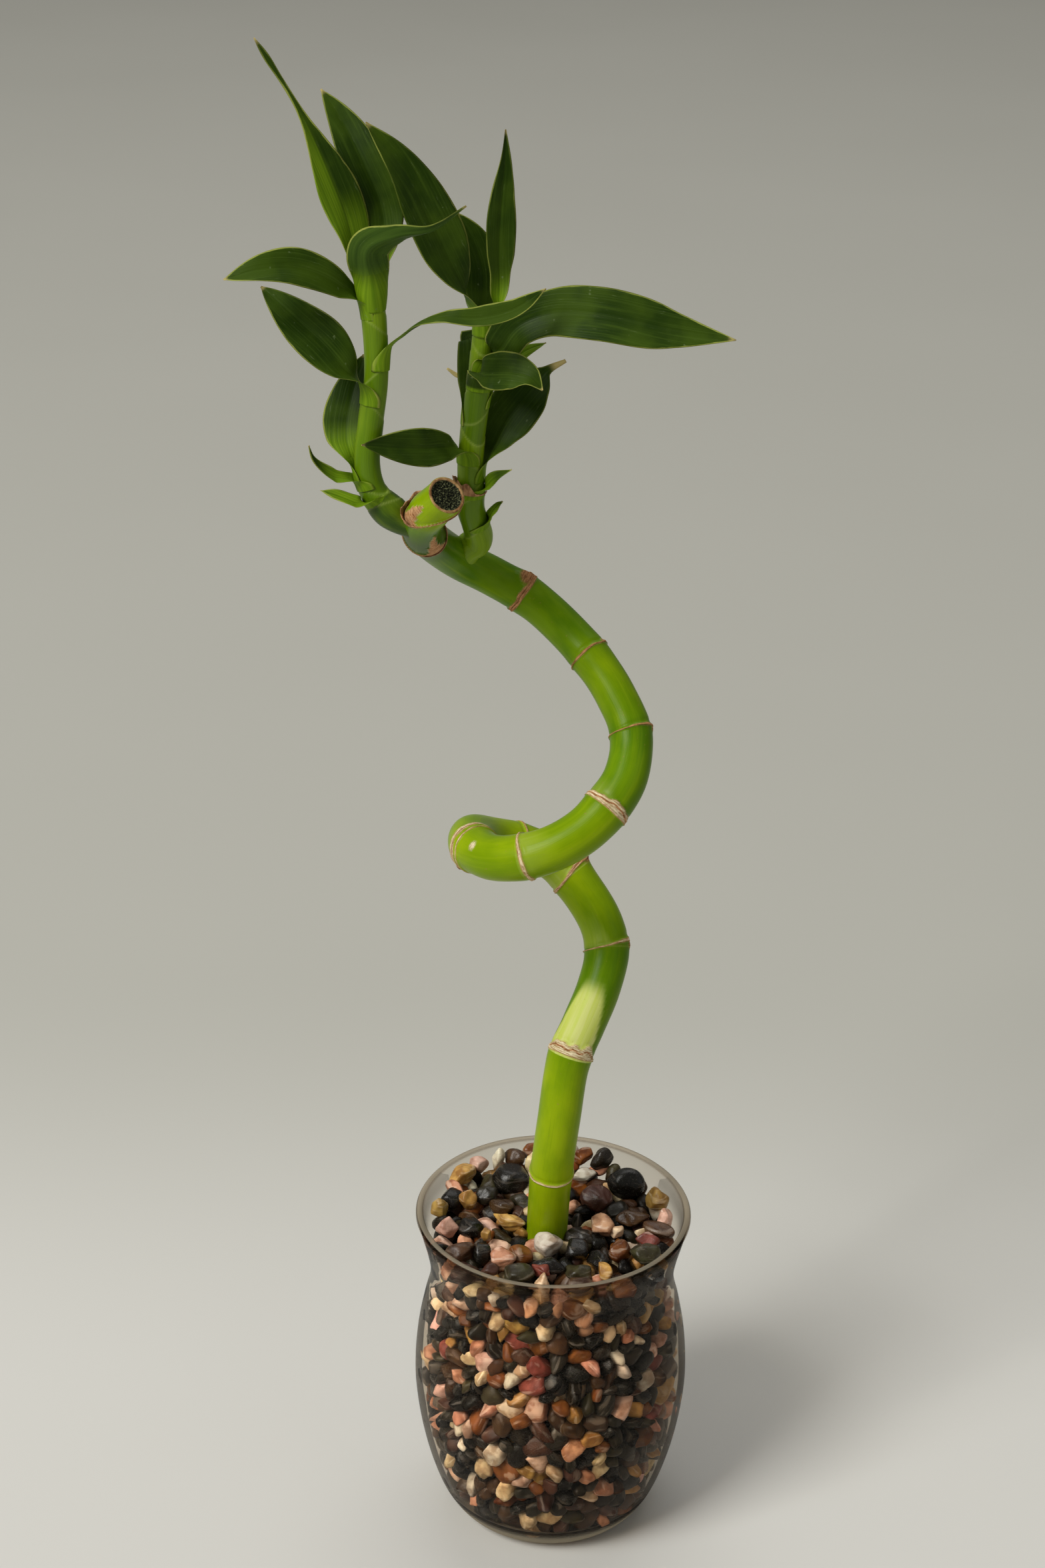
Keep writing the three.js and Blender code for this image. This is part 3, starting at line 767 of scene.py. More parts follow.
def cane_skin():
    shader = Shader("cane_skin", Specular_IOR_Level=CANE_SHINE)
    skin, deep, scarred, cut = shader.vector("skin"), *map(shader.value, ("deep", "scar", "cut"))
    streaks = shader.noise(skin, (0.5, 0.5, 0.03), 3)
    fibres = shader.noise(skin, (3.4, 3.4, 0.05), 3)
    clouds = shader.noise(skin, (0.10, 0.10, 0.05), 4)
    # Light to deep green by the deep value, which also carries a painted highlight between 288 and 306
    green = shader.mix(
        deep, shader.blend(clouds, 0.3, 0.7, *CANE_LIGHT), shader.blend(clouds, 0.3, 0.7, *CANE_DEEP)
    )
    green = shader.blend(deep, 1, 2, green, CANE_DEEPEST)
    green = shader.blend(streaks, 0.5, 0.8, green, CANE_STREAK, 0.30)
    green = shader.blend(fibres, 0.5, 0.8, green, CANE_FIBRE, 0.16)
    colour = shader.mix(shader.value("pale"), green, shader.blend(streaks, 0.4, 0.7, *CANE_PALE))
    colour = shader.blend(shader.noise(skin, 1.3, 2), 0.70, 0.76, colour, CANE_SPECK, 0.5)
    crumbs = shader.noise(skin, (1.2, 1.2, 3.0), 5, 0.7)
    threads = shader.noise(skin, (0.35, 0.35, 4.0), 3, 0.6)
    crumbs = shader.plus(shader.times(crumbs, 0.4), shader.times(threads, 0.6))
    torn = shader.between(crumbs, 0.38, 0.62)
    brown = shader.value("brown")
    scar = shader.blend(brown, 0, 0.6, shader.mix(torn, *SCAR_TAN), shader.mix(torn, *SCAR_COPPER))
    scar = shader.blend(brown, 0.6, 1, scar, shader.mix(torn, *SCAR_UMBER))
    colour = shader.mix(scarred, colour, scar)
    core = shader.blend(shader.noise(skin, 1.9, 4, 0.75), 0.50, 0.62, *CUT_CORE)
    face = shader.blend(cut, 0.6, 0.9, shader.mix(torn, *CUT_RIM), core)
    colour = shader.blend(cut, 0.2, 0.45, colour, face)
    rough = shader.between(scarred, 0, 1, CANE_ROUGHNESS, SCAR_ROUGHNESS)
    rough = shader.larger(rough, shader.times(cut, CUT_ROUGHNESS))
    shader.bump(shader.plus(shader.times(fibres, 0.25), shader.times(crumbs, scarred)), 0.35, 0.0005)
    return shader.finish(colour, rough)


def dry_skin():
    shader = Shader("dry_leaf_base", Roughness=DRY_ROUGHNESS, Specular_IOR_Level=DRY_SHINE)
    torn = shader.noise(shader.vector("skin"), (0.8, 0.8, 0.3), 5, 0.65)
    shader.bump(torn, 0.5, 0.0006)
    return shader.finish(shader.blend(torn, 0.3, 0.7, *DRY_SKIN))


# ---- Shoots ----

LEFT_SHOOT = {
    "name": "left_shoot",
    "path": [
        (-43.5, -18, 358.5), (-48.7, -18, 361), (-54, -18, 366), (-56.5, -18, 371), (-57.5, -18, 378),
        (-56.5, -17, 388), (-55, -16, 400), (-55, -15, 414), (-56, -15, 428),
    ],
    "radii": (4, 3),
    "bud": 14.5,
    "bulge": 0.9,
    "collars": [],
}
RIGHT_SHOOT = {
    "name": "right_shoot",
    "path": [
        (-31.5, 17, 335.5), (-28.8, 13.6, 340.9), (-27, 13.2, 342.2), (-26.3, 11.8, 345),
        (-27.2, 9, 350), (-28.5, 6, 356), (-28.5, 4.5, 362), (-28.5, 4, 372), (-27, 3, 388),
        (-25.5, 3, 402), (-24.5, 3, 413),
    ],
    "radii": (4.3, 3),
    "bud": 0,
    "bulge": 0.27,
    "collars": SHOOT_COLLARS,
}
SHOOT_SIDES = 40
SHOOT_STEP = 0.4
# How far a sheath reaches above its leaf's seat, how much lower it is a quarter of the way round
# and again at the back, and how far it stands out at its edge, fading down the stem
SHEATH_ABOVE = 1.5
SHEATH_SLANT = 3.2
SHEATH_STEP = 0.16
SHEATH_FADE = 9
SHEATH_GREENS = ((0.085, 0.165, 0.002), (0.16, 0.26, 0.003))
SHEATH_CLOUD = (0.21, 0.31, 0.006)
SHEATH_VEIN = (0.05, 0.11, 0.004)
SHEATH_MARGIN = (0.38, 0.44, 0.12)
SHEATH_SHINE = 0.18
# A shoot's thick base, and the tone that marks the dark bud it grew from
SHOOT_BASE = 9
BUD_TONE = -0.6
BUD_GREEN = (0.020, 0.050, 0.002)


def make_shoot(shoot, leaves, seed):
    """A stem of leaf sheaths, one inside the next, each ending in a slanting edge at its leaf."""
    rng = np.random.default_rng(seed)
    path = shoot["curve"]
    distances = np.linspace(0, path.length, int(path.length / SHOOT_STEP))
    centre, outward, turns = round_path(path, distances, SHOOT_SIDES)
    along = distances[:, None] + 0 * turns
    low, high = shoot["radii"]
    radius = lerp(low, high, along / path.length)
    tone = np.full_like(along, rng.uniform())
    margin = np.zeros_like(along)
    for leaf in sorted(leaves, key=lambda leaf: -leaf["seat"][0]):
        height, bearing = leaf["seat"]
        toward = facing(outward, compass(bearing))
        edge = path.reach_height(height) + SHEATH_ABOVE + SHEATH_SLANT * (toward - 1)
        edge += 0.25 * wave(turns, rng, 5)
        below = edge - along
        sheath = smoothstep(below, -0.1, 0.25)
        radius += SHEATH_STEP * sheath * bell(np.maximum(below, 0), SHEATH_FADE)
        margin = np.maximum(margin * (1 - sheath), bell(below - 0.25, 0.35))
        tone = np.where(sheath > 0.5, rng.uniform(), tone)
    radius += shoot["bulge"] * bell(along - SHOOT_BASE, SHOOT_BASE / 2)
    tone = np.where(along < shoot["bud"], BUD_TONE, tone)
    values = {"tone": tone, "margin": margin}
    stem = Piece()
    stem.add_tube(centre + outward * radius[..., None], skin=round_places(radius, turns, along), **values)

    def radius_at(places):
        return lerp(low, high, places / path.length) + 0.5

    add_dry_collars(stem, path, radius_at, shoot["collars"], rng, values)
    return stem.make(f"{shoot['name']}_sheaths", [shoot_skin(), dry_skin()], "shoot_skin", [shoot["name"]])


def shoot_skin():
    shader = Shader("sheath_skin", Specular_IOR_Level=SHEATH_SHINE)
    skin, tone = shader.vector("skin"), shader.value("tone")
    veins = shader.noise(skin, (2.2, 2.2, 0.03), 3)
    clouds = shader.noise(skin, (0.2, 0.2, 0.05), 3)
    colour = shader.blend(tone, 0, 1, *SHEATH_GREENS)
    colour = shader.mix(shader.between(tone, BUD_TONE, 0, 0.88, 0), colour, BUD_GREEN)
    colour = shader.blend(clouds, 0.4, 0.7, colour, SHEATH_CLOUD, 0.4)
    colour = shader.blend(veins, 0.45, 0.7, colour, SHEATH_VEIN, 0.3)
    colour = shader.mix(shader.times(shader.value("margin"), 0.3), colour, SHEATH_MARGIN)
    shader.bump(veins, 0.25, 0.0004)
    return shader.finish(colour, shader.between(clouds, 0.3, 0.7, 0.32, 0.45))


# ---- Leaves ----


def leaf_row(name, seat, width, fold, face, points, **others):
    """One leaf of the tables below.

    It is seated on its shoot at a height and a compass bearing in degrees from +X, and its midrib
    then runs through the points to the tip. width is its full width, broadest at that fraction of
    its length or as the widths say, fraction by fraction. fold is the rise of the margins above
    the midrib. face is the way the upper face looks once the blade has turned away from the shoot,
    over turn of its length. light is how far up the blade its pale base reaches; the pale base is
    partly painted light, the glow of light shining through the blade. bright_half is the side
    painted bright as if lit through, and how far up. dry is how far up its dry tip begins. clasp is
    how far the base clasps the shoot, how far round to each side in degrees, and its flare.
    """
    return {"name": name, "seat": seat, "width": width, "fold": fold, "face": face, "points": points} | others


LEFT_LEAVES = [
    leaf_row(
        "left_leaf_tall", (426, 165), 13, 2, (0.5, -1, 0.2),
        [(-61, -13.5, 437), (-63, -12, 446), (-67, -12, 457), (-75.5, -12, 476), (-87, -12, 494.5)],
        widths=[
            (0, 5), (0.16, 11.5), (0.36, 12.5), (0.48, 9.5), (0.58, 5.6), (0.66, 2.8), (0.73, 1.6),
            (0.83, 1.5), (0.92, 2), (1, 0.4),
        ],
        light=0.4, bright_half=(1, 0.75),
    ),
    leaf_row(
        "left_leaf_back", (426, 50), 14, 2, (0.3, -1, 0.2),
        [(-52.5, -9.5, 436), (-53.5, -6, 447), (-58.5, -2, 458.5), (-64.5, 3, 469), (-70.5, 6, 477.5)],
        broadest=0.5,
    ),
    leaf_row(
        "left_leaf_funnel", (421, 275), 12, 2, (0.2, 0.8, 1),
        [(-55.5, -21, 430), (-56, -24.5, 440), (-48, -28, 445), (-38.5, -28, 447), (-29.5, -25, 453)],
        widths=[
            (0, 5), (0.15, 8), (0.3, 11.5), (0.42, 11), (0.55, 7.5), (0.7, 5), (0.85, 3.2), (1, 0.4),
        ],
        turn=1, clasp=(20, 130, 0.2), light=0.3,
    ),
    leaf_row(
        "left_leaf_far", (418.5, 190), 11, 1.5, (0, -0.8, 0.6),
        [(-61, -17, 424), (-67, -20, 430.5), (-76, -23, 434.5), (-85, -26, 435), (-95.5, -28, 432.5)],
        broadest=0.55,
    ),
    leaf_row(
        "left_leaf_low", (394, 215), 14.5, 1.5, (0.3, -0.9, 0.5),
        [(-61.5, -20.5, 402), (-68, -19, 410.5), (-77, -15.5, 418), (-87, -11, 426)],
        broadest=0.5,
    ),
    leaf_row(
        "left_leaf_behind", (372, 150), 14, 1.5, (-0.2, -1, 0.2),
        [(-63, -13.5, 379), (-63.5, -10, 386), (-62, -6, 394), (-59, -1, 404)],
        broadest=0.5, light=0.5,
    ),
    leaf_row(
        "left_bract_upper", (370.5, 200), 5, 0.8, (1, -0.3, 0.6),
        [(-65, -21.5, 373), (-69.5, -23.5, 376.5), (-72.3, -24.5, 380.5), (-73.5, -25, 384.5)],
        broadest=0.4, light=0.8,
    ),
    leaf_row(
        "left_bract_lower", (365.5, 240), 5, 0.8, (0.3, -0.6, 1),
        [(-60.5, -24.5, 367.5), (-65.5, -24.5, 369.5), (-70.5, -24, 371)],
        broadest=0.4, light=1.3,
    ),
    leaf_row(
        "left_leaf_crossing", (404, 340), 9, 1, (0, -0.9, 0.6),
        [
            (-49, -17.5, 412), (-43.5, -18.5, 417.5), (-35.5, -20, 420.5), (-26, -20, 420.5),
            (-16.5, -18, 422.5), (-7.5, -14, 427.5),
        ],
        widths=[(0, 5), (0.12, 3.4), (0.35, 3.4), (0.5, 4.6), (0.68, 6.6), (0.85, 4.8), (1, 0.4)],
        turn=1, light=0.3,
    ),
]
RIGHT_LEAVES = [
    leaf_row(
        "right_leaf_upright", (409, 0), 9.5, 1.5, (0.5, -1, 0.1),
        [(-20.5, 3.5, 420), (-21, 5, 434), (-20.5, 7.5, 446), (-19.5, 10, 457.5), (-19.5, 11, 466)],
        widths=[
            (0, 5), (0.2, 5.2), (0.3, 6), (0.42, 8.8), (0.55, 9.4), (0.7, 7.4), (0.82, 4.4), (0.92, 2),
            (1, 0.4),
        ],
        light=0.35,
    ),
    leaf_row(
        "right_leaf_leaning", (409, 240), 15.5, 2, (0.4, -1, 0.4),
        [(-29.5, -2, 420), (-35, -4, 433), (-41, -6, 446.5), (-47.5, -7, 459), (-57.5, -8, 471.5)],
        widths=[
            (0, 5), (0.1, 4.6), (0.2, 6.6), (0.3, 10.8), (0.45, 15.2), (0.6, 14.5), (0.75, 10.8),
            (0.88, 6.4), (1, 0.4),
        ],
    ),
    leaf_row(
        "right_leaf_back", (409, 110), 13, 1.5, (0.3, -1, 0.2),
        [(-25.5, 9, 419), (-26, 12, 427), (-29, 14.5, 434.5), (-33, 16, 441)],
        broadest=0.45,
    ),
    leaf_row(
        "right_leaf_big", (398, 305), 15.5, 2, (0, -0.9, 0.5),
        [
            (-20.5, -3.5, 406), (-15.5, -4.5, 413.5), (-5.5, -6, 418), (8, -9, 418.5), (27, -12, 415.5),
            (46, -14, 413.5),
        ],
        widths=[
            (0, 7), (0.1, 10), (0.2, 12), (0.33, 13), (0.44, 15.2), (0.56, 15.5), (0.68, 14.4),
            (0.81, 9.4), (0.9, 5.2), (1, 0.4),
        ],
        turn=0.14, light=0.08,
    ),
    leaf_row(
        "right_leaf_curled", (393, 270), 11, 1, (0.1, -0.9, 0.5),
        [(-25.5, -5.5, 400), (-21, -9.5, 402), (-16, -13, 403), (-11.5, -15.5, 402.5), (-8, -17, 399)],
        widths=[
            (0, 6), (0.15, 7), (0.3, 9), (0.5, 11.5), (0.66, 11), (0.8, 7.6), (0.92, 3.2), (1, 0.4),
        ],
        light=0.05,
    ),
    leaf_row(
        "right_leaf_dry_tip", (382, 130), 8, 1, (-0.3, -1, 0.3),
        [
            (-28.6, 10.5, 391), (-28.4, 13, 399), (-29, 16, 404.5), (-30.5, 19, 397.5),
            (-32.4, 20.5, 391.6), (-36, 21.5, 393.4),
        ],
        widths=[
            (0, 5), (0.15, 7.5), (0.35, 8.5), (0.5, 7.8), (0.6, 5.5), (0.7, 3), (0.85, 2), (1, 0.6),
        ],
        dry=0.8,
    ),
    leaf_row(
        "right_leaf_broad", (365, 15), 15.5, 1.5, (-0.2, -1, 0.4),
        [
            (-21.8, 6.5, 375), (-19.4, 8, 380.4), (-14.5, 9.5, 387), (-9.6, 11, 392.6), (-6.6, 12, 396),
            (-1.2, 13, 398.8),
        ],
        widths=[
            (0, 5), (0.15, 7.5), (0.3, 12), (0.48, 15.6), (0.62, 15), (0.74, 10.5), (0.82, 5.5),
            (0.87, 2.6), (1, 1),
        ],
        dry=0.87,
    ),
    leaf_row(
        "right_leaf_narrow", (388, 45), 5, 0.8, (-0.3, -1, 0.6),
        [(-20.5, 10, 395), (-13.5, 15, 400.5), (-7, 18, 402.5)],
        broadest=0.5, light=1.6,
    ),
    leaf_row(
        "right_leaf_crossing", (370.5, 230), 11.5, 1.2, (0, -0.9, 0.5),
        [(-34.5, -5, 377.5), (-41.5, -14, 380.5), (-50, -21, 383), (-58.5, -27, 385.5)],
        broadest=0.5,
    ),
    leaf_row(
        "right_bract_upper", (360.5, 320), 5, 0.8, (-0.4, -0.6, 1),
        [(-22.5, 0.5, 365.5), (-16.5, -2, 370.5)],
        broadest=0.4, light=0.7,
    ),
    leaf_row(
        "right_bract_lower", (350, 330), 4.5, 0.8, (-0.5, -0.6, 1),
        [(-22, 5, 354.5), (-19, 4, 358.5)],
        broadest=0.4, light=1.2,
    ),
]
# What a leaf has that says nothing else
LEAF_TURN = 0.4
LEAF_LIGHT = 0.22
LEAF_DRY = 0.965
LEAF_CLASP = (12, 88, 0.06)
# How far off its shoot a midrib starts, how far off it the clasping base lies, and the largest
# share of a leaf's length that may clasp
LEAF_SEAT = 0.95
LEAF_OFF_STEM = 0.3
LEAF_CLASP_MOST = 0.4
# A leaf without widths of its own: its width at the base and the tip, and the powers of its taper
LEAF_BASE_WIDTH = 5
LEAF_TIP_WIDTH = 0.5
LEAF_TAPER = (1.8, 0.9)
# Rows along a leaf, the power that crowds them towards its base, and points across each face
LEAF_ROWS = 72
LEAF_ROW_CROWDING = 1.1
LEAF_ACROSS = 19
# Share of its length over which a leaf dries, and the softness of its fold across the midrib
DRY_FADE = 0.06
FOLD_SOFTNESS = 0.02
MIDRIB_THICKNESS = 0.75
MARGIN_THICKNESS = 0.22
MIDRIB_GROOVE = 0.3
MIDRIB_WIDTH = 0.09
RIPPLE = 0.35
# Ripples along the left and the right half, in radians over the whole length
RIPPLE_TURNS = (9, 11)


def leaf_widths(leaf, shares):
    """Full width at each fraction of the leaf's length."""
    if "widths" in leaf:
        known, widths = np.array(leaf["widths"]).T
        rows = np.column_stack([known, widths, np.zeros(len(known))])
        smooth = Path(rows * (leaf["width"], 1, 1)).points
        return np.interp(shares * leaf["width"], smooth[:, 0], smooth[:, 1])
    broadest = leaf["broadest"]
    opening = lerp(LEAF_BASE_WIDTH, leaf["width"], smoothstep(shares, 0, broadest))
    past = np.clip((shares - broadest) / (1 - broadest), 0, 1)
    closing = leaf["width"] * (1 - past ** LEAF_TAPER[0]) ** LEAF_TAPER[1]
    return np.maximum(np.where(shares < broadest, opening, closing), LEAF_TIP_WIDTH)


def leaf_shape(leaf, shoot, rng):
    """Rows of points round the blade, with the values its material reads.

    What changes along the blade is a column, with one row for each place along it. What changes
    round it is a row: loop runs from 1 to -1 across the upper face and back across the lower.
    """
    stem = shoot["curve"]
    height, bearing = leaf["seat"]
    seat = stem.reach_height(height)
    upward = stem.tangent_at(seat)
    outward = compass(bearing)
    outward = unit(outward - upward * outward.dot(upward))
    stem_radius = lerp(*shoot["radii"], seat / stem.length)
    rib = Path([stem.at(seat) + outward * (stem_radius + LEAF_SEAT), *leaf["points"]])
    shares = np.linspace(0, 1, LEAF_ROWS)[:, None] ** LEAF_ROW_CROWDING
    lengths = shares * rib.length
    half = leaf_widths(leaf, shares) / 2
    across = np.linspace(1, -1, LEAF_ACROSS)
    loop = np.concatenate([across, across[-2:0:-1]])
    upper = np.concatenate([np.ones(LEAF_ACROSS), np.zeros(LEAF_ACROSS - 2)])

    thick = lerp(MIDRIB_THICKNESS, MARGIN_THICKNESS, np.abs(loop) ** 0.7) * smoothstep(shares, 1.2, 0.7)
    lift = np.where(upper > 0.5, 0.5, -0.5) * thick * (1 - loop**8)
    blade = leaf_blade(leaf, rib, shares, half, loop, upper, lift, outward, rng)
    clasp, freed = leaf_clasp(leaf, rib, lengths, loop, lift, stem, stem_radius, seat, outward, upward)

    # The pale base, which is partly painted light: the glow of light shining through the blade
    light_reach = leaf.get("light", LEAF_LIGHT)
    light = 1 - smoothstep(shares, light_reach * 0.4, light_reach) + 0 * loop
    # Painted light: one half of the blade painted bright, as if light shone through it
    if "bright_half" in leaf:
        side, reach = leaf["bright_half"]
        bright = smoothstep(side * loop, -0.05, 0.1) * smoothstep(shares, reach, reach - 0.3)
        light = np.maximum(light, bright)
    dry_from = leaf.get("dry", LEAF_DRY)
    values = {
        "blade": np.stack(np.broadcast_arrays(half * loop, lengths, upper), axis=-1),
        "edge": np.minimum((1 - np.abs(loop)) * half, (1 - shares) * rib.length * 0.5),
        "light": light,
        "dry": smoothstep(shares, dry_from, min(dry_from + DRY_FADE, 1)) + 0 * loop,
    }
    return lerp(clasp, blade, freed), values


def leaf_blade(leaf, rib, shares, half, loop, upper, lift, outward, rng):
    """The blade folded along its midrib, once it is clear of the shoot."""
    lengths = shares * rib.length
    tangent = rib.tangent_at(lengths)
    face = unit(np.array(leaf["face"], dtype=float))
    turned = smoothstep(shares, 0, leaf.get("turn", LEAF_TURN))[..., None]
    normal = lerp(-outward, face, turned)
    normal = unit(normal - tangent * (normal * tangent).sum(axis=-1, keepdims=True))
    across = np.cross(normal, tangent)
    rise = leaf["fold"] * (2 * half / leaf["width"]) * np.sqrt(loop**2 + FOLD_SOFTNESS)
    left, right = (
        np.sin(turns * shares + phase) for turns, phase in zip(RIPPLE_TURNS, rng.uniform(0, 2 * math.pi, 2))
    )
    rise = rise + RIPPLE * np.where(loop > 0, left, right) * loop**2 * smoothstep(shares, 0.15, 0.5)
    groove = -MIDRIB_GROOVE * bell(loop, MIDRIB_WIDTH) * (half / half.max()) * lerp(0.5, 1, upper)
    blade = rib.at(lengths) + across * (half * loop)[..., None]
    return blade + normal * (rise + lift + groove)[..., None]


def leaf_clasp(leaf, rib, lengths, loop, lift, stem, stem_radius, seat, outward, upward):
    """The base of the leaf wrapped round its shoot, and how far each row is free of it."""
    clasp_length, clasp_wrap, clasp_flare = leaf.get("clasp", LEAF_CLASP)
    reach = min(clasp_length, LEAF_CLASP_MOST * rib.length)
    along_stem = np.minimum(seat + lengths, stem.length)
    stem_side = np.cross(stem.tangent_at(along_stem), outward)
    swing = math.radians(clasp_wrap) * (1 - 0.5 * smoothstep(lengths, 0, reach)) * loop
    radius = stem_radius + LEAF_OFF_STEM + clasp_flare * lengths + lift
    clasp = stem.at(along_stem) + np.maximum(seat + lengths - stem.length, 0)[..., None] * upward
    clasp = clasp + (radius * np.cos(swing))[..., None] * outward
    clasp = clasp + (radius * np.sin(swing))[..., None] * stem_side
    return clasp, smoothstep(lengths, 0.15 * reach, reach)[..., None]


def make_leaf(leaf, shoot, material, seed):
    blade = Piece()
    points, values = leaf_shape(leaf, shoot, np.random.default_rng(seed))
    blade.add_tube(points, **values)
    return blade.make(f"{leaf['name']}_blade", [material], "leaf_blade", [leaf["name"]])


# Colours of the blade: the first of a pair is where its noise is low
LEAF_GREENS = ((0.015, 0.036, 0.0013), (0.039, 0.075, 0.0028))
LEAF_STREAK = (0.055, 0.100, 0.008)
LEAF_VEIN = (0.065, 0.115, 0.014)
LEAF_UNDER = ((0.030, 0.066, 0.006), (0.058, 0.112, 0.012))
# The pale base of a blade, partly painted light shining through it
LEAF_PALE_BASE_AND_GLOW = ((0.105, 0.205, 0.004), (0.20, 0.33, 0.010))
LEAF_SCUFF = (0.16, 0.21, 0.09)
LEAF_MARGIN = (0.36, 0.40, 0.08)
LEAF_STRAW = ((0.36, 0.25, 0.08), (0.58, 0.50, 0.22))
LEAF_GLOW = (0.35, 0.55, 0.05)
LEAF_GLOW_SHARE = 0.14
LEAF_SHINE = 0.09


def leaf_skin():
    shader = Shader("leaf_skin", Specular_IOR_Level=LEAF_SHINE)
    blade, place = shader.vector("blade"), shader.place()
    veins = shader.noise(blade, (2.4, 0.02, 0), 2)
    streaks = shader.noise(blade, (0.9, 0.035, 0), 3)
    clouds = shader.noise(place, 70.0, 3)
    dark = shader.blend(clouds, 0.35, 0.65, *LEAF_GREENS)
    dark = shader.blend(streaks, 0.5, 0.75, dark, LEAF_STREAK, 0.6)
    dark = shader.blend(veins, 0.5, 0.75, dark, LEAF_VEIN, 0.4)
    green = shader.mix(shader.split(blade)["Z"], shader.blend(streaks, 0.3, 0.7, *LEAF_UNDER), dark)
    # Pale base, partly a painted glow of light through the blade
    green = shader.mix(shader.value("light"), green, shader.blend(veins, 0.3, 0.7, *LEAF_PALE_BASE_AND_GLOW))
    scuffs = shader.between(shader.noise(place, 520.0, 2), 0.72, 0.78, 0, 0.5)
    rubbed = shader.between(shader.noise(blade, (1.6, 0.16, 0), 4, 0.65), 0.62, 0.74, 0, 0.4)
    green = shader.mix(shader.larger(scuffs, rubbed), green, LEAF_SCUFF)
    edge = shader.minus(shader.value("edge"), shader.times(shader.noise(place, 260.0, 2), 0.5))
    patchy = shader.between(shader.noise(place, 45.0, 2), 0.35, 0.6, 0.15, 0.8)
    green = shader.mix(shader.times(shader.between(edge, 0.02, 0.20, 1, 0), patchy), green, LEAF_MARGIN)
    colour = shader.mix(shader.value("dry"), green, shader.mix(streaks, *LEAF_STRAW))
    shader.bump(shader.plus(veins, shader.times(clouds, 0.4)), 0.22, 0.0005)
    shader.finish(colour, shader.between(clouds, 0.3, 0.7, 0.42, 0.56))
    glow = shader.node("ShaderNodeBsdfTranslucent", Color=shader.mix(0.5, colour, LEAF_GLOW))
    lit = shader.layer(LEAF_GLOW_SHARE, shader.surface.outputs[0], glow.outputs[0])
    shader.feed(shader.output.inputs["Surface"], lit)
    return shader.material


# ---- Gravel ----

# Colour, how angular from 0 to 1, roughness, and share of the gravel
STONE_KINDS = {
    "black": ((0.008, 0.007, 0.005), 0.15, 0.26, 21),
    "charcoal": ((0.020, 0.015, 0.008), 0.3, 0.32, 16),
    "slate": ((0.046, 0.038, 0.015), 0.3, 0.36, 8),
    "umber": ((0.070, 0.032, 0.012), 0.4, 0.34, 14),
    "plum": ((0.075, 0.030, 0.018), 0.4, 0.34, 6),
    "rust": ((0.22, 0.068, 0.012), 0.7, 0.36, 8),
    "ochre": ((0.50, 0.28, 0.07), 0.8, 0.38, 6),
    "cream": ((0.84, 0.64, 0.38), 0.9, 0.42, 8),
    "white": ((0.76, 0.69, 0.54), 0.7, 0.38, 4),
    "salmon": ((0.66, 0.32, 0.19), 1.0, 0.40, 6),
    "pink": ((0.80, 0.50, 0.39), 1.0, 0.42, 6),
    "red": ((0.31, 0.072, 0.052), 0.9, 0.38, 1.5),
}
DARK_KINDS = ("black", "charcoal", "slate", "umber", "plum")
PALE_KINDS = ("cream", "white")
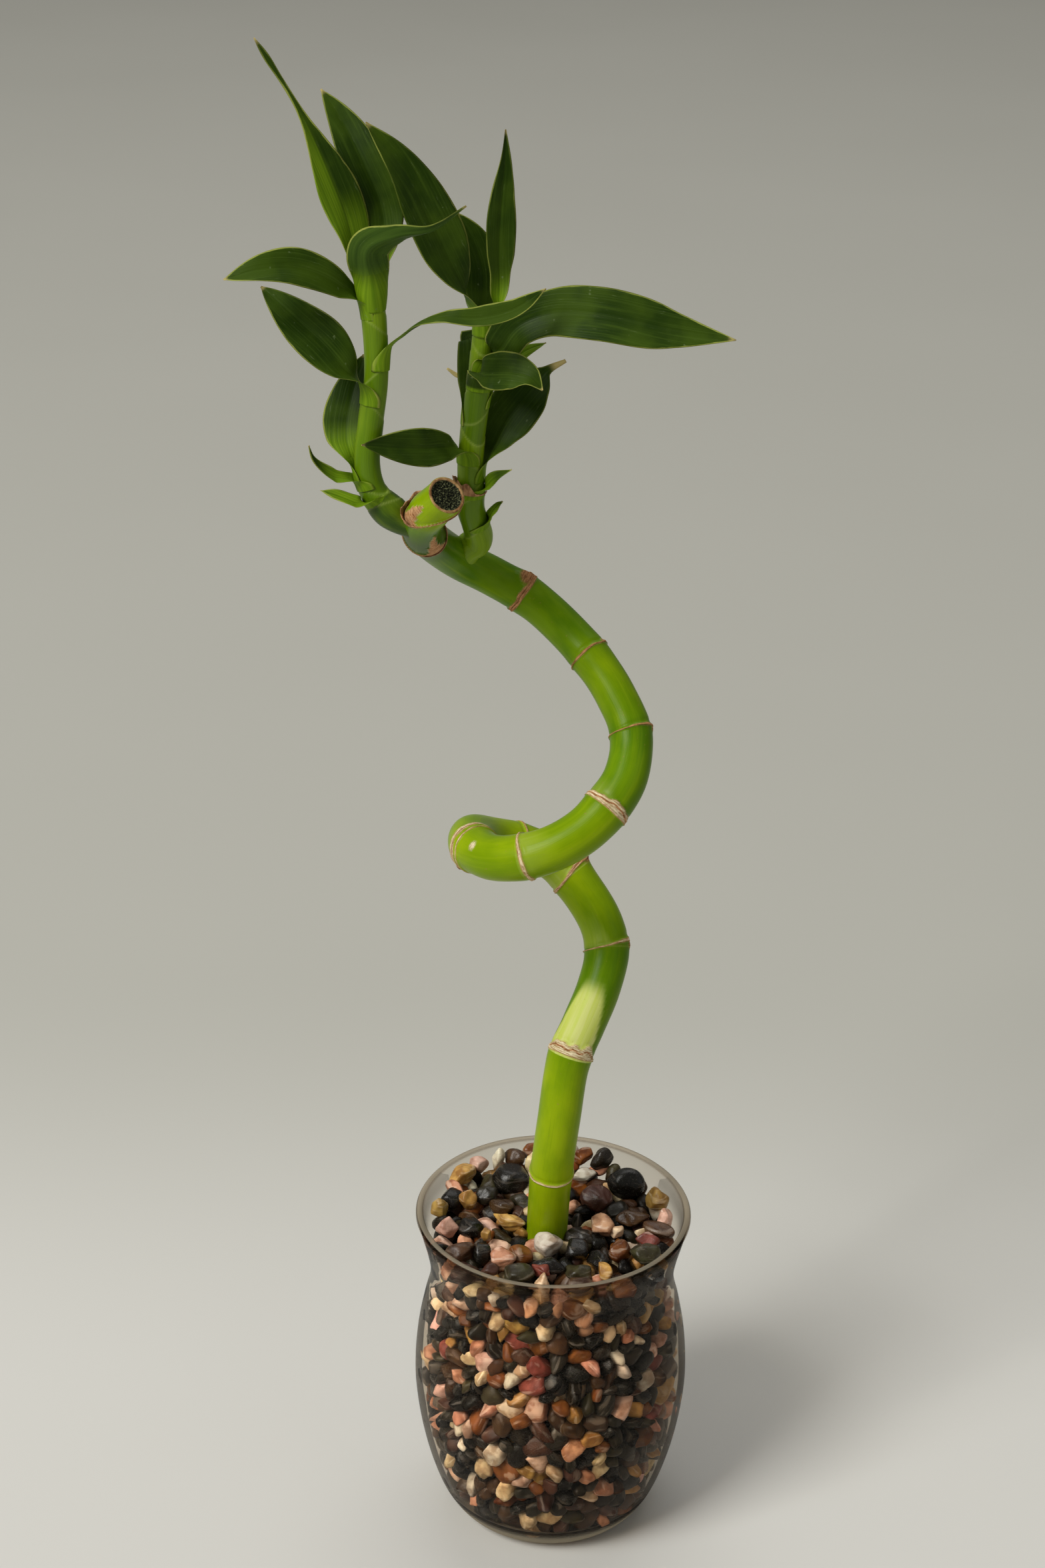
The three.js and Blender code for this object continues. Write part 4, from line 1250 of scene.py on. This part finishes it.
# Stones seen in the mouth of the vase: kind, centre, and length, depth and height, turned by
# degrees about the upright
TOP_STONES = [
    ("white", (-2, -12, 108.5), (9, 10, 8), 60),
    ("salmon", (-16.5, -19, 108.5), (9, 8, 8), 20),
    ("rust", (-10.5, -15.5, 107), (9, 7, 6), -40),
    ("ochre", (-14.5, 1.5, 108.5), (13, 6.5, 6.5), -38),
    ("black", (-14.5, 25, 109.5), (12.5, 11.5, 9), 10),
    ("white", (-18.5, 34, 111), (4.5, 4.5, 10), 0),
    ("ochre", (-30.5, 23.5, 112), (10.5, 6, 6.5), 38),
    ("pink", (-35, -3, 108.5), (7.5, 6, 8.5), 30),
    ("ochre", (-28.5, 12, 109.5), (6.5, 6, 8), 70),
    ("slate", (-10.5, 14, 108), (9, 5, 5), -30),
    ("black", (-33.5, 13, 109), (9, 7, 7), 60),
    ("umber", (-30, -14.5, 107), (10.5, 8.5, 7), 20),
    ("slate", (-11, -27, 107.5), (10, 8, 6), 10),
    ("red", (-4, -24, 107), (7, 5, 5), -20),
    ("cream", (-3.5, -31.5, 106), (5, 5, 8), 10),
    ("black", (-1.5, -21.5, 107), (11, 7, 6), -5),
    ("charcoal", (9.5, -4, 106.5), (11, 8, 6), -15),
    ("black", (7.5, -14, 107.5), (8.5, 8, 7), 50),
    ("salmon", (15.5, -2.5, 109), (9.5, 7.5, 8.5), -40),
    ("plum", (14.5, 14, 109), (11, 9.5, 8.5), 0),
    ("black", (25, 21, 111), (13, 11, 11), 20),
    ("ochre", (35, 11.5, 111), (8, 8, 10), 60),
    ("umber", (26.5, 3, 109), (11.5, 6, 5.5), 8),
    ("umber", (34.5, -3.5, 109), (11.5, 7, 5.5), -20),
    ("slate", (30, -15.5, 108), (10, 8, 6.5), 15),
    ("red", (31, -7.5, 107.5), (8, 5, 5.5), 5),
    ("rust", (21.5, -14.5, 108), (8, 7, 8.5), 60),
    ("ochre", (16.5, -26, 108), (6, 5, 6), -45),
    ("black", (15, -17, 106), (9, 7, 6.5), -60),
    ("pink", (37, 2.5, 109.5), (7, 5, 7), 80),
    ("cream", (21, -4, 108.5), (4.5, 4, 4.5), 0),
    ("cream", (29, -3, 107.5), (4.5, 4, 4.5), 0),
    ("charcoal", (16.5, 34, 112), (8.5, 6, 8.5), 20),
    ("rust", (10.5, 36, 112), (6.5, 6, 7), 0),
    ("white", (6, 38, 113), (5.5, 4, 4.5), 10),
    ("white", (10.5, 25.5, 111), (9, 5, 5), 28),
    ("umber", (-13, 35, 111.5), (8, 6, 7), -20),
    ("rust", (-7, 38, 112.5), (7, 5, 6), 15),
    ("cream", (-7, 33, 111), (6, 5, 8), 30),
    ("pink", (-25, 30, 112), (7, 6, 6), 20),
    ("salmon", (-33, 18.5, 110), (9, 5, 5), -35),
    ("ochre", (-38, 7, 109.5), (6, 5, 8), 60),
    ("charcoal", (-22.5, 16, 109), (8.5, 7.5, 7), 0),
    ("umber", (-17, 11, 107.5), (9, 7, 6), -30),
    ("ochre", (-22, -8.5, 109.5), (3.5, 3, 5), 0),
    ("black", (-27, -2, 107.5), (9, 8, 7), 20),
    ("plum", (-20.5, -24, 106.5), (6, 5, 5), 0),
    ("black", (-23, -15, 107), (8, 6, 7), 80),
    ("charcoal", (-2, 12, 106.5), (9, 8, 6.5), 0),
    ("black", (4, 18, 107.5), (10, 8, 7), 30),
    ("umber", (3, 29, 109), (9, 8, 7), -20),
    ("charcoal", (22, 10, 107), (9, 7, 6.5), 30),
    ("black", (32, -24, 105.5), (8, 7, 6), 40),
    ("umber", (8, -30, 105.5), (9, 7, 6), 15),
    ("rust", (22, -31, 105), (8, 7, 7), 30),
    ("plum", (-28, -24, 105.5), (9, 8, 7), 0),
    ("slate", (8, -23, 105.5), (9, 7, 6), 0),
    ("black", (-37, -12, 105.5), (7, 6, 7), 0),
]
# Height of the bed on the axis, its rise towards the back, and its clearance from the glass
BED_TOP = 107
BED_SLOPE = 0.09
BED_CLEARANCE = 0.4
# Half the width of the box that the bed's spheres start in
BED_HALF = 42
STONE_SEED = 11
STONE_SIZES = (2.0, 4.0)
# Least and most length, depth and height of a bed stone, before it is given its volume
STONE_ASPECTS = ((1.0, 0.8, 0.55), (1.5, 1.05, 0.85))
# The size of a stone against that of the sphere that it takes the place of
STONE_GROWTH = 1.12
# Share of the bed that its spheres fill, rounds of pushing, rounds between searches for near pairs,
# and the share of an overlap by which each of a pair moves in one round
PACKING = 0.60
PACKING_ROUNDS = 160
PACKING_REVIEW = 8
PACKING_PUSH = 0.4
# Distance in largest stone radii within which two stones may come to touch before the next review
PACKING_NEAR = 2.4
# How far a sphere's middle stays off the cane, as a share of its radius, and how far above the bed
# the cane is followed
CANE_PRESS = 0.8
CANE_REACH = 12
# Stones this near the glass, the top or the floor have more faces
WALL_DEPTH = 8
# How far from a stone's middle its flat sides lie, from round to angular, and how sharply they meet
FLAT_NEAREST = (0.9, 0.58)
FLAT_FARTHEST = 1.05
FLAT_SHARPNESS = (5, 26)
STONE_REACH = 1.15
LUMP_RISE = 0.022
LUMP_FINENESS = 3.2
LUMPS = 4
STONE_BLOTCH = (0.30, 0.17, 0.09)
STONE_BAND = (0.75, 0.62, 0.50)
STONE_SPECK = (0.30, 0.26, 0.22)


def bed_ceiling(places):
    return BED_TOP + BED_SLOPE * places[:, 1]


def keep_in_vase(places, radii):
    """Moves sphere centres so that each sphere is inside the glass, under the top and off the cane."""
    height = np.clip(places[:, 2], VASE_FLOOR + BED_CLEARANCE + radii, bed_ceiling(places) - radii)
    room = np.full(len(places), np.inf)
    for level in (-0.8, -0.4, 0, 0.4, 0.8):
        wide = radii * math.sqrt(1 - level**2)
        room = np.minimum(room, inner_radius(height + level * radii) - wide - BED_CLEARANCE)
    flat = places[:, :2]
    out = np.linalg.norm(flat, axis=1)
    flat = flat * np.minimum(1, room / np.maximum(out, 1e-6))[:, None]
    buried = stalk_path.points[stalk_path.points[:, 2] < BED_TOP + CANE_REACH]
    cane = np.stack([np.interp(height, buried[:, 2], buried[:, k]) for k in range(2)], axis=1)
    gap = flat - cane
    distance = np.linalg.norm(gap, axis=1)
    need = read_table(STALK_RADII, height) + radii * CANE_PRESS
    pushed = cane + gap / np.maximum(distance, 1e-6)[:, None] * need[:, None]
    inside = (distance < need) & (height > STALK_PATH[0][2] - radii)
    flat = np.where(inside[:, None], pushed, flat)
    return np.column_stack([flat, height])


def pack_spheres(rng):
    """Fills the vase with spheres that start anywhere in it and push each other apart."""
    levels = np.linspace(VASE_FLOOR, BED_TOP, 200)
    volume = (math.pi * inner_radius(levels) ** 2).mean() * (BED_TOP - VASE_FLOOR)
    radii = []
    while sum(4 / 3 * math.pi * r**3 for r in radii) < PACKING * volume:
        radii.append(rng.uniform(*STONE_SIZES))
    radii = np.array(radii)
    places = rng.uniform((-BED_HALF, -BED_HALF, VASE_FLOOR), (BED_HALF, BED_HALF, BED_TOP), (len(radii), 3))
    places = keep_in_vase(places, radii)
    for round_number in range(PACKING_ROUNDS):
        if round_number % PACKING_REVIEW == 0:
            first, second = near_pairs(places)
        gap = places[first] - places[second]
        distance = np.linalg.norm(gap, axis=1, keepdims=True)
        overlap = np.maximum((radii[first] + radii[second])[:, None] - distance, 0)
        push = PACKING_PUSH * gap / distance * overlap
        np.add.at(places, first, push)
        np.subtract.at(places, second, push)
        places = keep_in_vase(places, radii)
    return places, radii


def near_pairs(places):
    """Each pair of centres that are close enough to touch soon, once."""
    squares = (places**2).sum(axis=1)
    apart = squares[:, None] + squares[None, :] - 2 * places @ places.T
    first, second = np.nonzero(apart < (PACKING_NEAR * STONE_SIZES[1]) ** 2)
    once = first < second
    return first[once], second[once]


def ball(level):
    """Directions and triangles of an even ball."""
    shape = bmesh.new()
    bmesh.ops.create_icosphere(shape, subdivisions=level, radius=1)
    shape.verts.ensure_lookup_table()
    directions = np.array([v.co for v in shape.verts])
    faces = [[v.index for v in face.verts] for face in shape.faces]
    shape.free()
    return directions, faces


def random_turn(rng):
    axes, _ = np.linalg.qr(rng.normal(size=(3, 3)))
    return axes * np.sign(np.linalg.det(axes))


def upright_turn(degrees):
    turn = math.radians(degrees)
    return np.array([[math.cos(turn), -math.sin(turn), 0], [math.sin(turn), math.cos(turn), 0], [0, 0, 1]])


def stone_surface(directions, angular, rng):
    """A pebble about one unit in radius, with flat sides that meet in worn, rounded edges."""
    flats = np.vstack([random_turn(rng), -random_turn(rng), unit(rng.normal(size=(5, 3)))])
    heights = rng.uniform(lerp(*FLAT_NEAREST, angular), FLAT_FARTHEST, len(flats))
    sharpness = lerp(*FLAT_SHARPNESS, angular)
    facing_flats = np.maximum(directions @ flats.T, 1e-6) / heights
    reach = np.minimum((facing_flats**sharpness).sum(axis=1) ** (-1 / sharpness), STONE_REACH)
    lumps = sum(
        LUMP_RISE * np.sin(directions @ rng.normal(size=3) * LUMP_FINENESS + rng.uniform(0, 6))
        for _ in range(LUMPS)
    )
    return directions * (reach * (1 + lumps))[:, None]


def add_stone(piece, template, kind, centre, size, turn, rng):
    directions, faces = template
    colour, angular, roughness, _ = STONE_KINDS[kind]
    shape = stone_surface(directions, min(angular * rng.uniform(0.6, 1.3), 1), rng)
    span = shape.max(axis=0) - shape.min(axis=0)
    middle = (shape.max(axis=0) + shape.min(axis=0)) / 2
    shape = (shape - middle) / span * np.array(size)
    points = shape @ turn.T + np.array(centre)
    shade = np.array(colour) * rng.uniform(0.75, 1.2) * rng.uniform(0.93, 1.07, 3)
    trait = np.array([roughness * rng.uniform(0.8, 1.2), rng.uniform(), angular])
    grain = shape + rng.uniform(-200, 200, 3)
    count = (len(points), 1)
    piece.add(points, faces, stone=np.tile(shade, count), trait=np.tile(trait, count), grain=grain)


def pick_kind(rng):
    shares = np.array([share for *_, share in STONE_KINDS.values()], dtype=float)
    return list(STONE_KINDS)[rng.choice(len(shares), p=shares / shares.sum())]


def make_gravel():
    rng = np.random.default_rng(STONE_SEED)
    fine, middle, coarse = ball(4), ball(3), ball(2)
    bed_material = stone_skin("bed_gravel", 0.22, 0)
    top_material = stone_skin("polished_gravel", 0.35, 0.08)
    beds = {kind: Piece() for kind in STONE_KINDS}
    for place, radius in zip(*pack_spheres(rng)):
        depth = inner_radius(place[2]) - np.linalg.norm(place[:2])
        seen = depth < WALL_DEPTH or place[2] > BED_TOP - WALL_DEPTH or place[2] < VASE_FLOOR + WALL_DEPTH
        aspect = rng.uniform(*STONE_ASPECTS)
        size = 2 * radius * STONE_GROWTH * aspect / np.cbrt(aspect.prod())
        kind = pick_kind(rng)
        add_stone(beds[kind], middle if seen else coarse, kind, place, size, random_turn(rng), rng)
    for kind, bed in beds.items():
        bed.make(f"gravel_{kind}", [bed_material], "gravel", ["gravel_bed"])
    families = {"dark_stone": Piece(), "warm_stone": Piece(), "pale_stone": Piece()}
    for kind, centre, size, turn in TOP_STONES:
        family = "dark_stone" if kind in DARK_KINDS else "pale_stone" if kind in PALE_KINDS else "warm_stone"
        add_stone(families[family], fine, kind, centre, size, upright_turn(turn), rng)
    for slot, family in families.items():
        nodes = [part["node"] for part in frame["record"]["subparts"] if part["material_slot"] == slot]
        family.make(f"top_stones_{slot.split('_')[0]}", [top_material], slot, nodes)


def stone_skin(name, shine, wet):
    shader = Shader(name, Specular_IOR_Level=shine, Coat_Weight=wet, Coat_Roughness=0.15)
    grain, own = shader.vector("grain"), shader.read("stone").outputs["Color"]
    trait = shader.split(shader.vector("trait"))
    blotches = shader.noise(grain, 0.28, 4)
    specks = shader.noise(grain, 2.2, 3, 0.7)
    bands = shader.between(shader.noise(grain, (0.12, 0.12, 0.75), 3), 0.56, 0.66)
    colour = shader.mix(shader.between(blotches, 0.35, 0.65, 0, 0.7), own, STONE_BLOTCH, "MULTIPLY")
    lighter = shader.mix(0.5, own, STONE_BAND, "SCREEN")
    colour = shader.mix(shader.times(shader.times(bands, trait["Z"]), 0.7), colour, lighter)
    colour = shader.blend(specks, 0.60, 0.75, colour, STONE_SPECK, 0.35)
    shader.bump(shader.plus(specks, shader.times(blotches, 2)), 0.25, 0.0005)
    return shader.finish(colour, shader.plus(trait["X"], shader.between(specks, 0.4, 0.7, -0.04, 0.10)))


# ---- Studio ----

FLOOR_HALF = 6000
# Pale tones of the floor near the vase and far behind it, and where along Y it turns, in metres
FLOOR_NEAR = ((0.585, 0.575, 0.545), (0.620, 0.610, 0.580))
FLOOR_FAR = ((0.430, 0.425, 0.385), (0.455, 0.450, 0.410))
FLOOR_TURNS = (0.04, 0.36)
LOOK_AT = (-15, 0, 220)
# Name, place, width, height, power in watts and colour
LIGHTS = [
    ("window", (-2250, -1900, 3100), 1500, 1900, 158, (1.0, 0.99, 0.95)),
    ("room", (3000, -1500, 2200), 3000, 2500, 9, (0.96, 0.98, 1.0)),
    ("ceiling", (250, 1750, 3600), 3500, 2500, 46, (1.0, 0.99, 0.96)),
]
SKY_LIGHT = (0.75, 0.74, 0.69, 1)
SKY_STRENGTH = 0.28


def make_floor():
    shader = Shader("pale_floor", Roughness=0.6, Specular_IOR_Level=0.3)
    place = shader.place()
    cloud = shader.noise(place, 3.0, 2)
    near, far = shader.mix(cloud, *FLOOR_NEAR), shader.mix(cloud, *FLOOR_FAR)
    half = FLOOR_HALF * MM
    corners = [(-half, -half, 0), (half, -half, 0), (half, half, 0), (-half, half, 0)]
    mesh = bpy.data.meshes.new("floor")
    mesh.from_pydata(corners, [], [(0, 1, 2, 3)])
    mesh.materials.append(shader.finish(shader.blend(shader.split(place)["Y"], *FLOOR_TURNS, near, far)))
    floor = add_object("floor", mesh)


def make_lights():
    sky = bpy.data.worlds.new("studio")
    sky.use_nodes = True
    sky.node_tree.nodes["Background"].inputs["Color"].default_value = SKY_LIGHT
    sky.node_tree.nodes["Background"].inputs["Strength"].default_value = SKY_STRENGTH
    bpy.context.scene.world = sky
    for name, place, width, height, power, colour in LIGHTS:
        lamp = bpy.data.lights.new(name, "AREA")
        lamp.shape = "RECTANGLE"
        lamp.size, lamp.size_y = width * MM, height * MM
        lamp.energy = power
        lamp.color = colour
        light = add_object(name, lamp)
        light.location = Vector(place) * MM
        light.rotation_mode = "QUATERNION"
        light.rotation_quaternion = (Vector(place) - Vector(LOOK_AT)).to_track_quat("Z", "Y")


# ---- Assembly ----

make_lights()
make_floor()
make_vase()
make_gravel()
make_stalk()
leaf_material = leaf_skin()
for seed, (shoot, leaves) in enumerate(((LEFT_SHOOT, LEFT_LEAVES), (RIGHT_SHOOT, RIGHT_LEAVES))):
    shoot["curve"] = Path(shoot["path"])
    make_shoot(shoot, leaves, seed)
    for number, leaf in enumerate(leaves):
        make_leaf(leaf, shoot, leaf_material, 100 * seed + number)

bpy.context.view_layer.update()
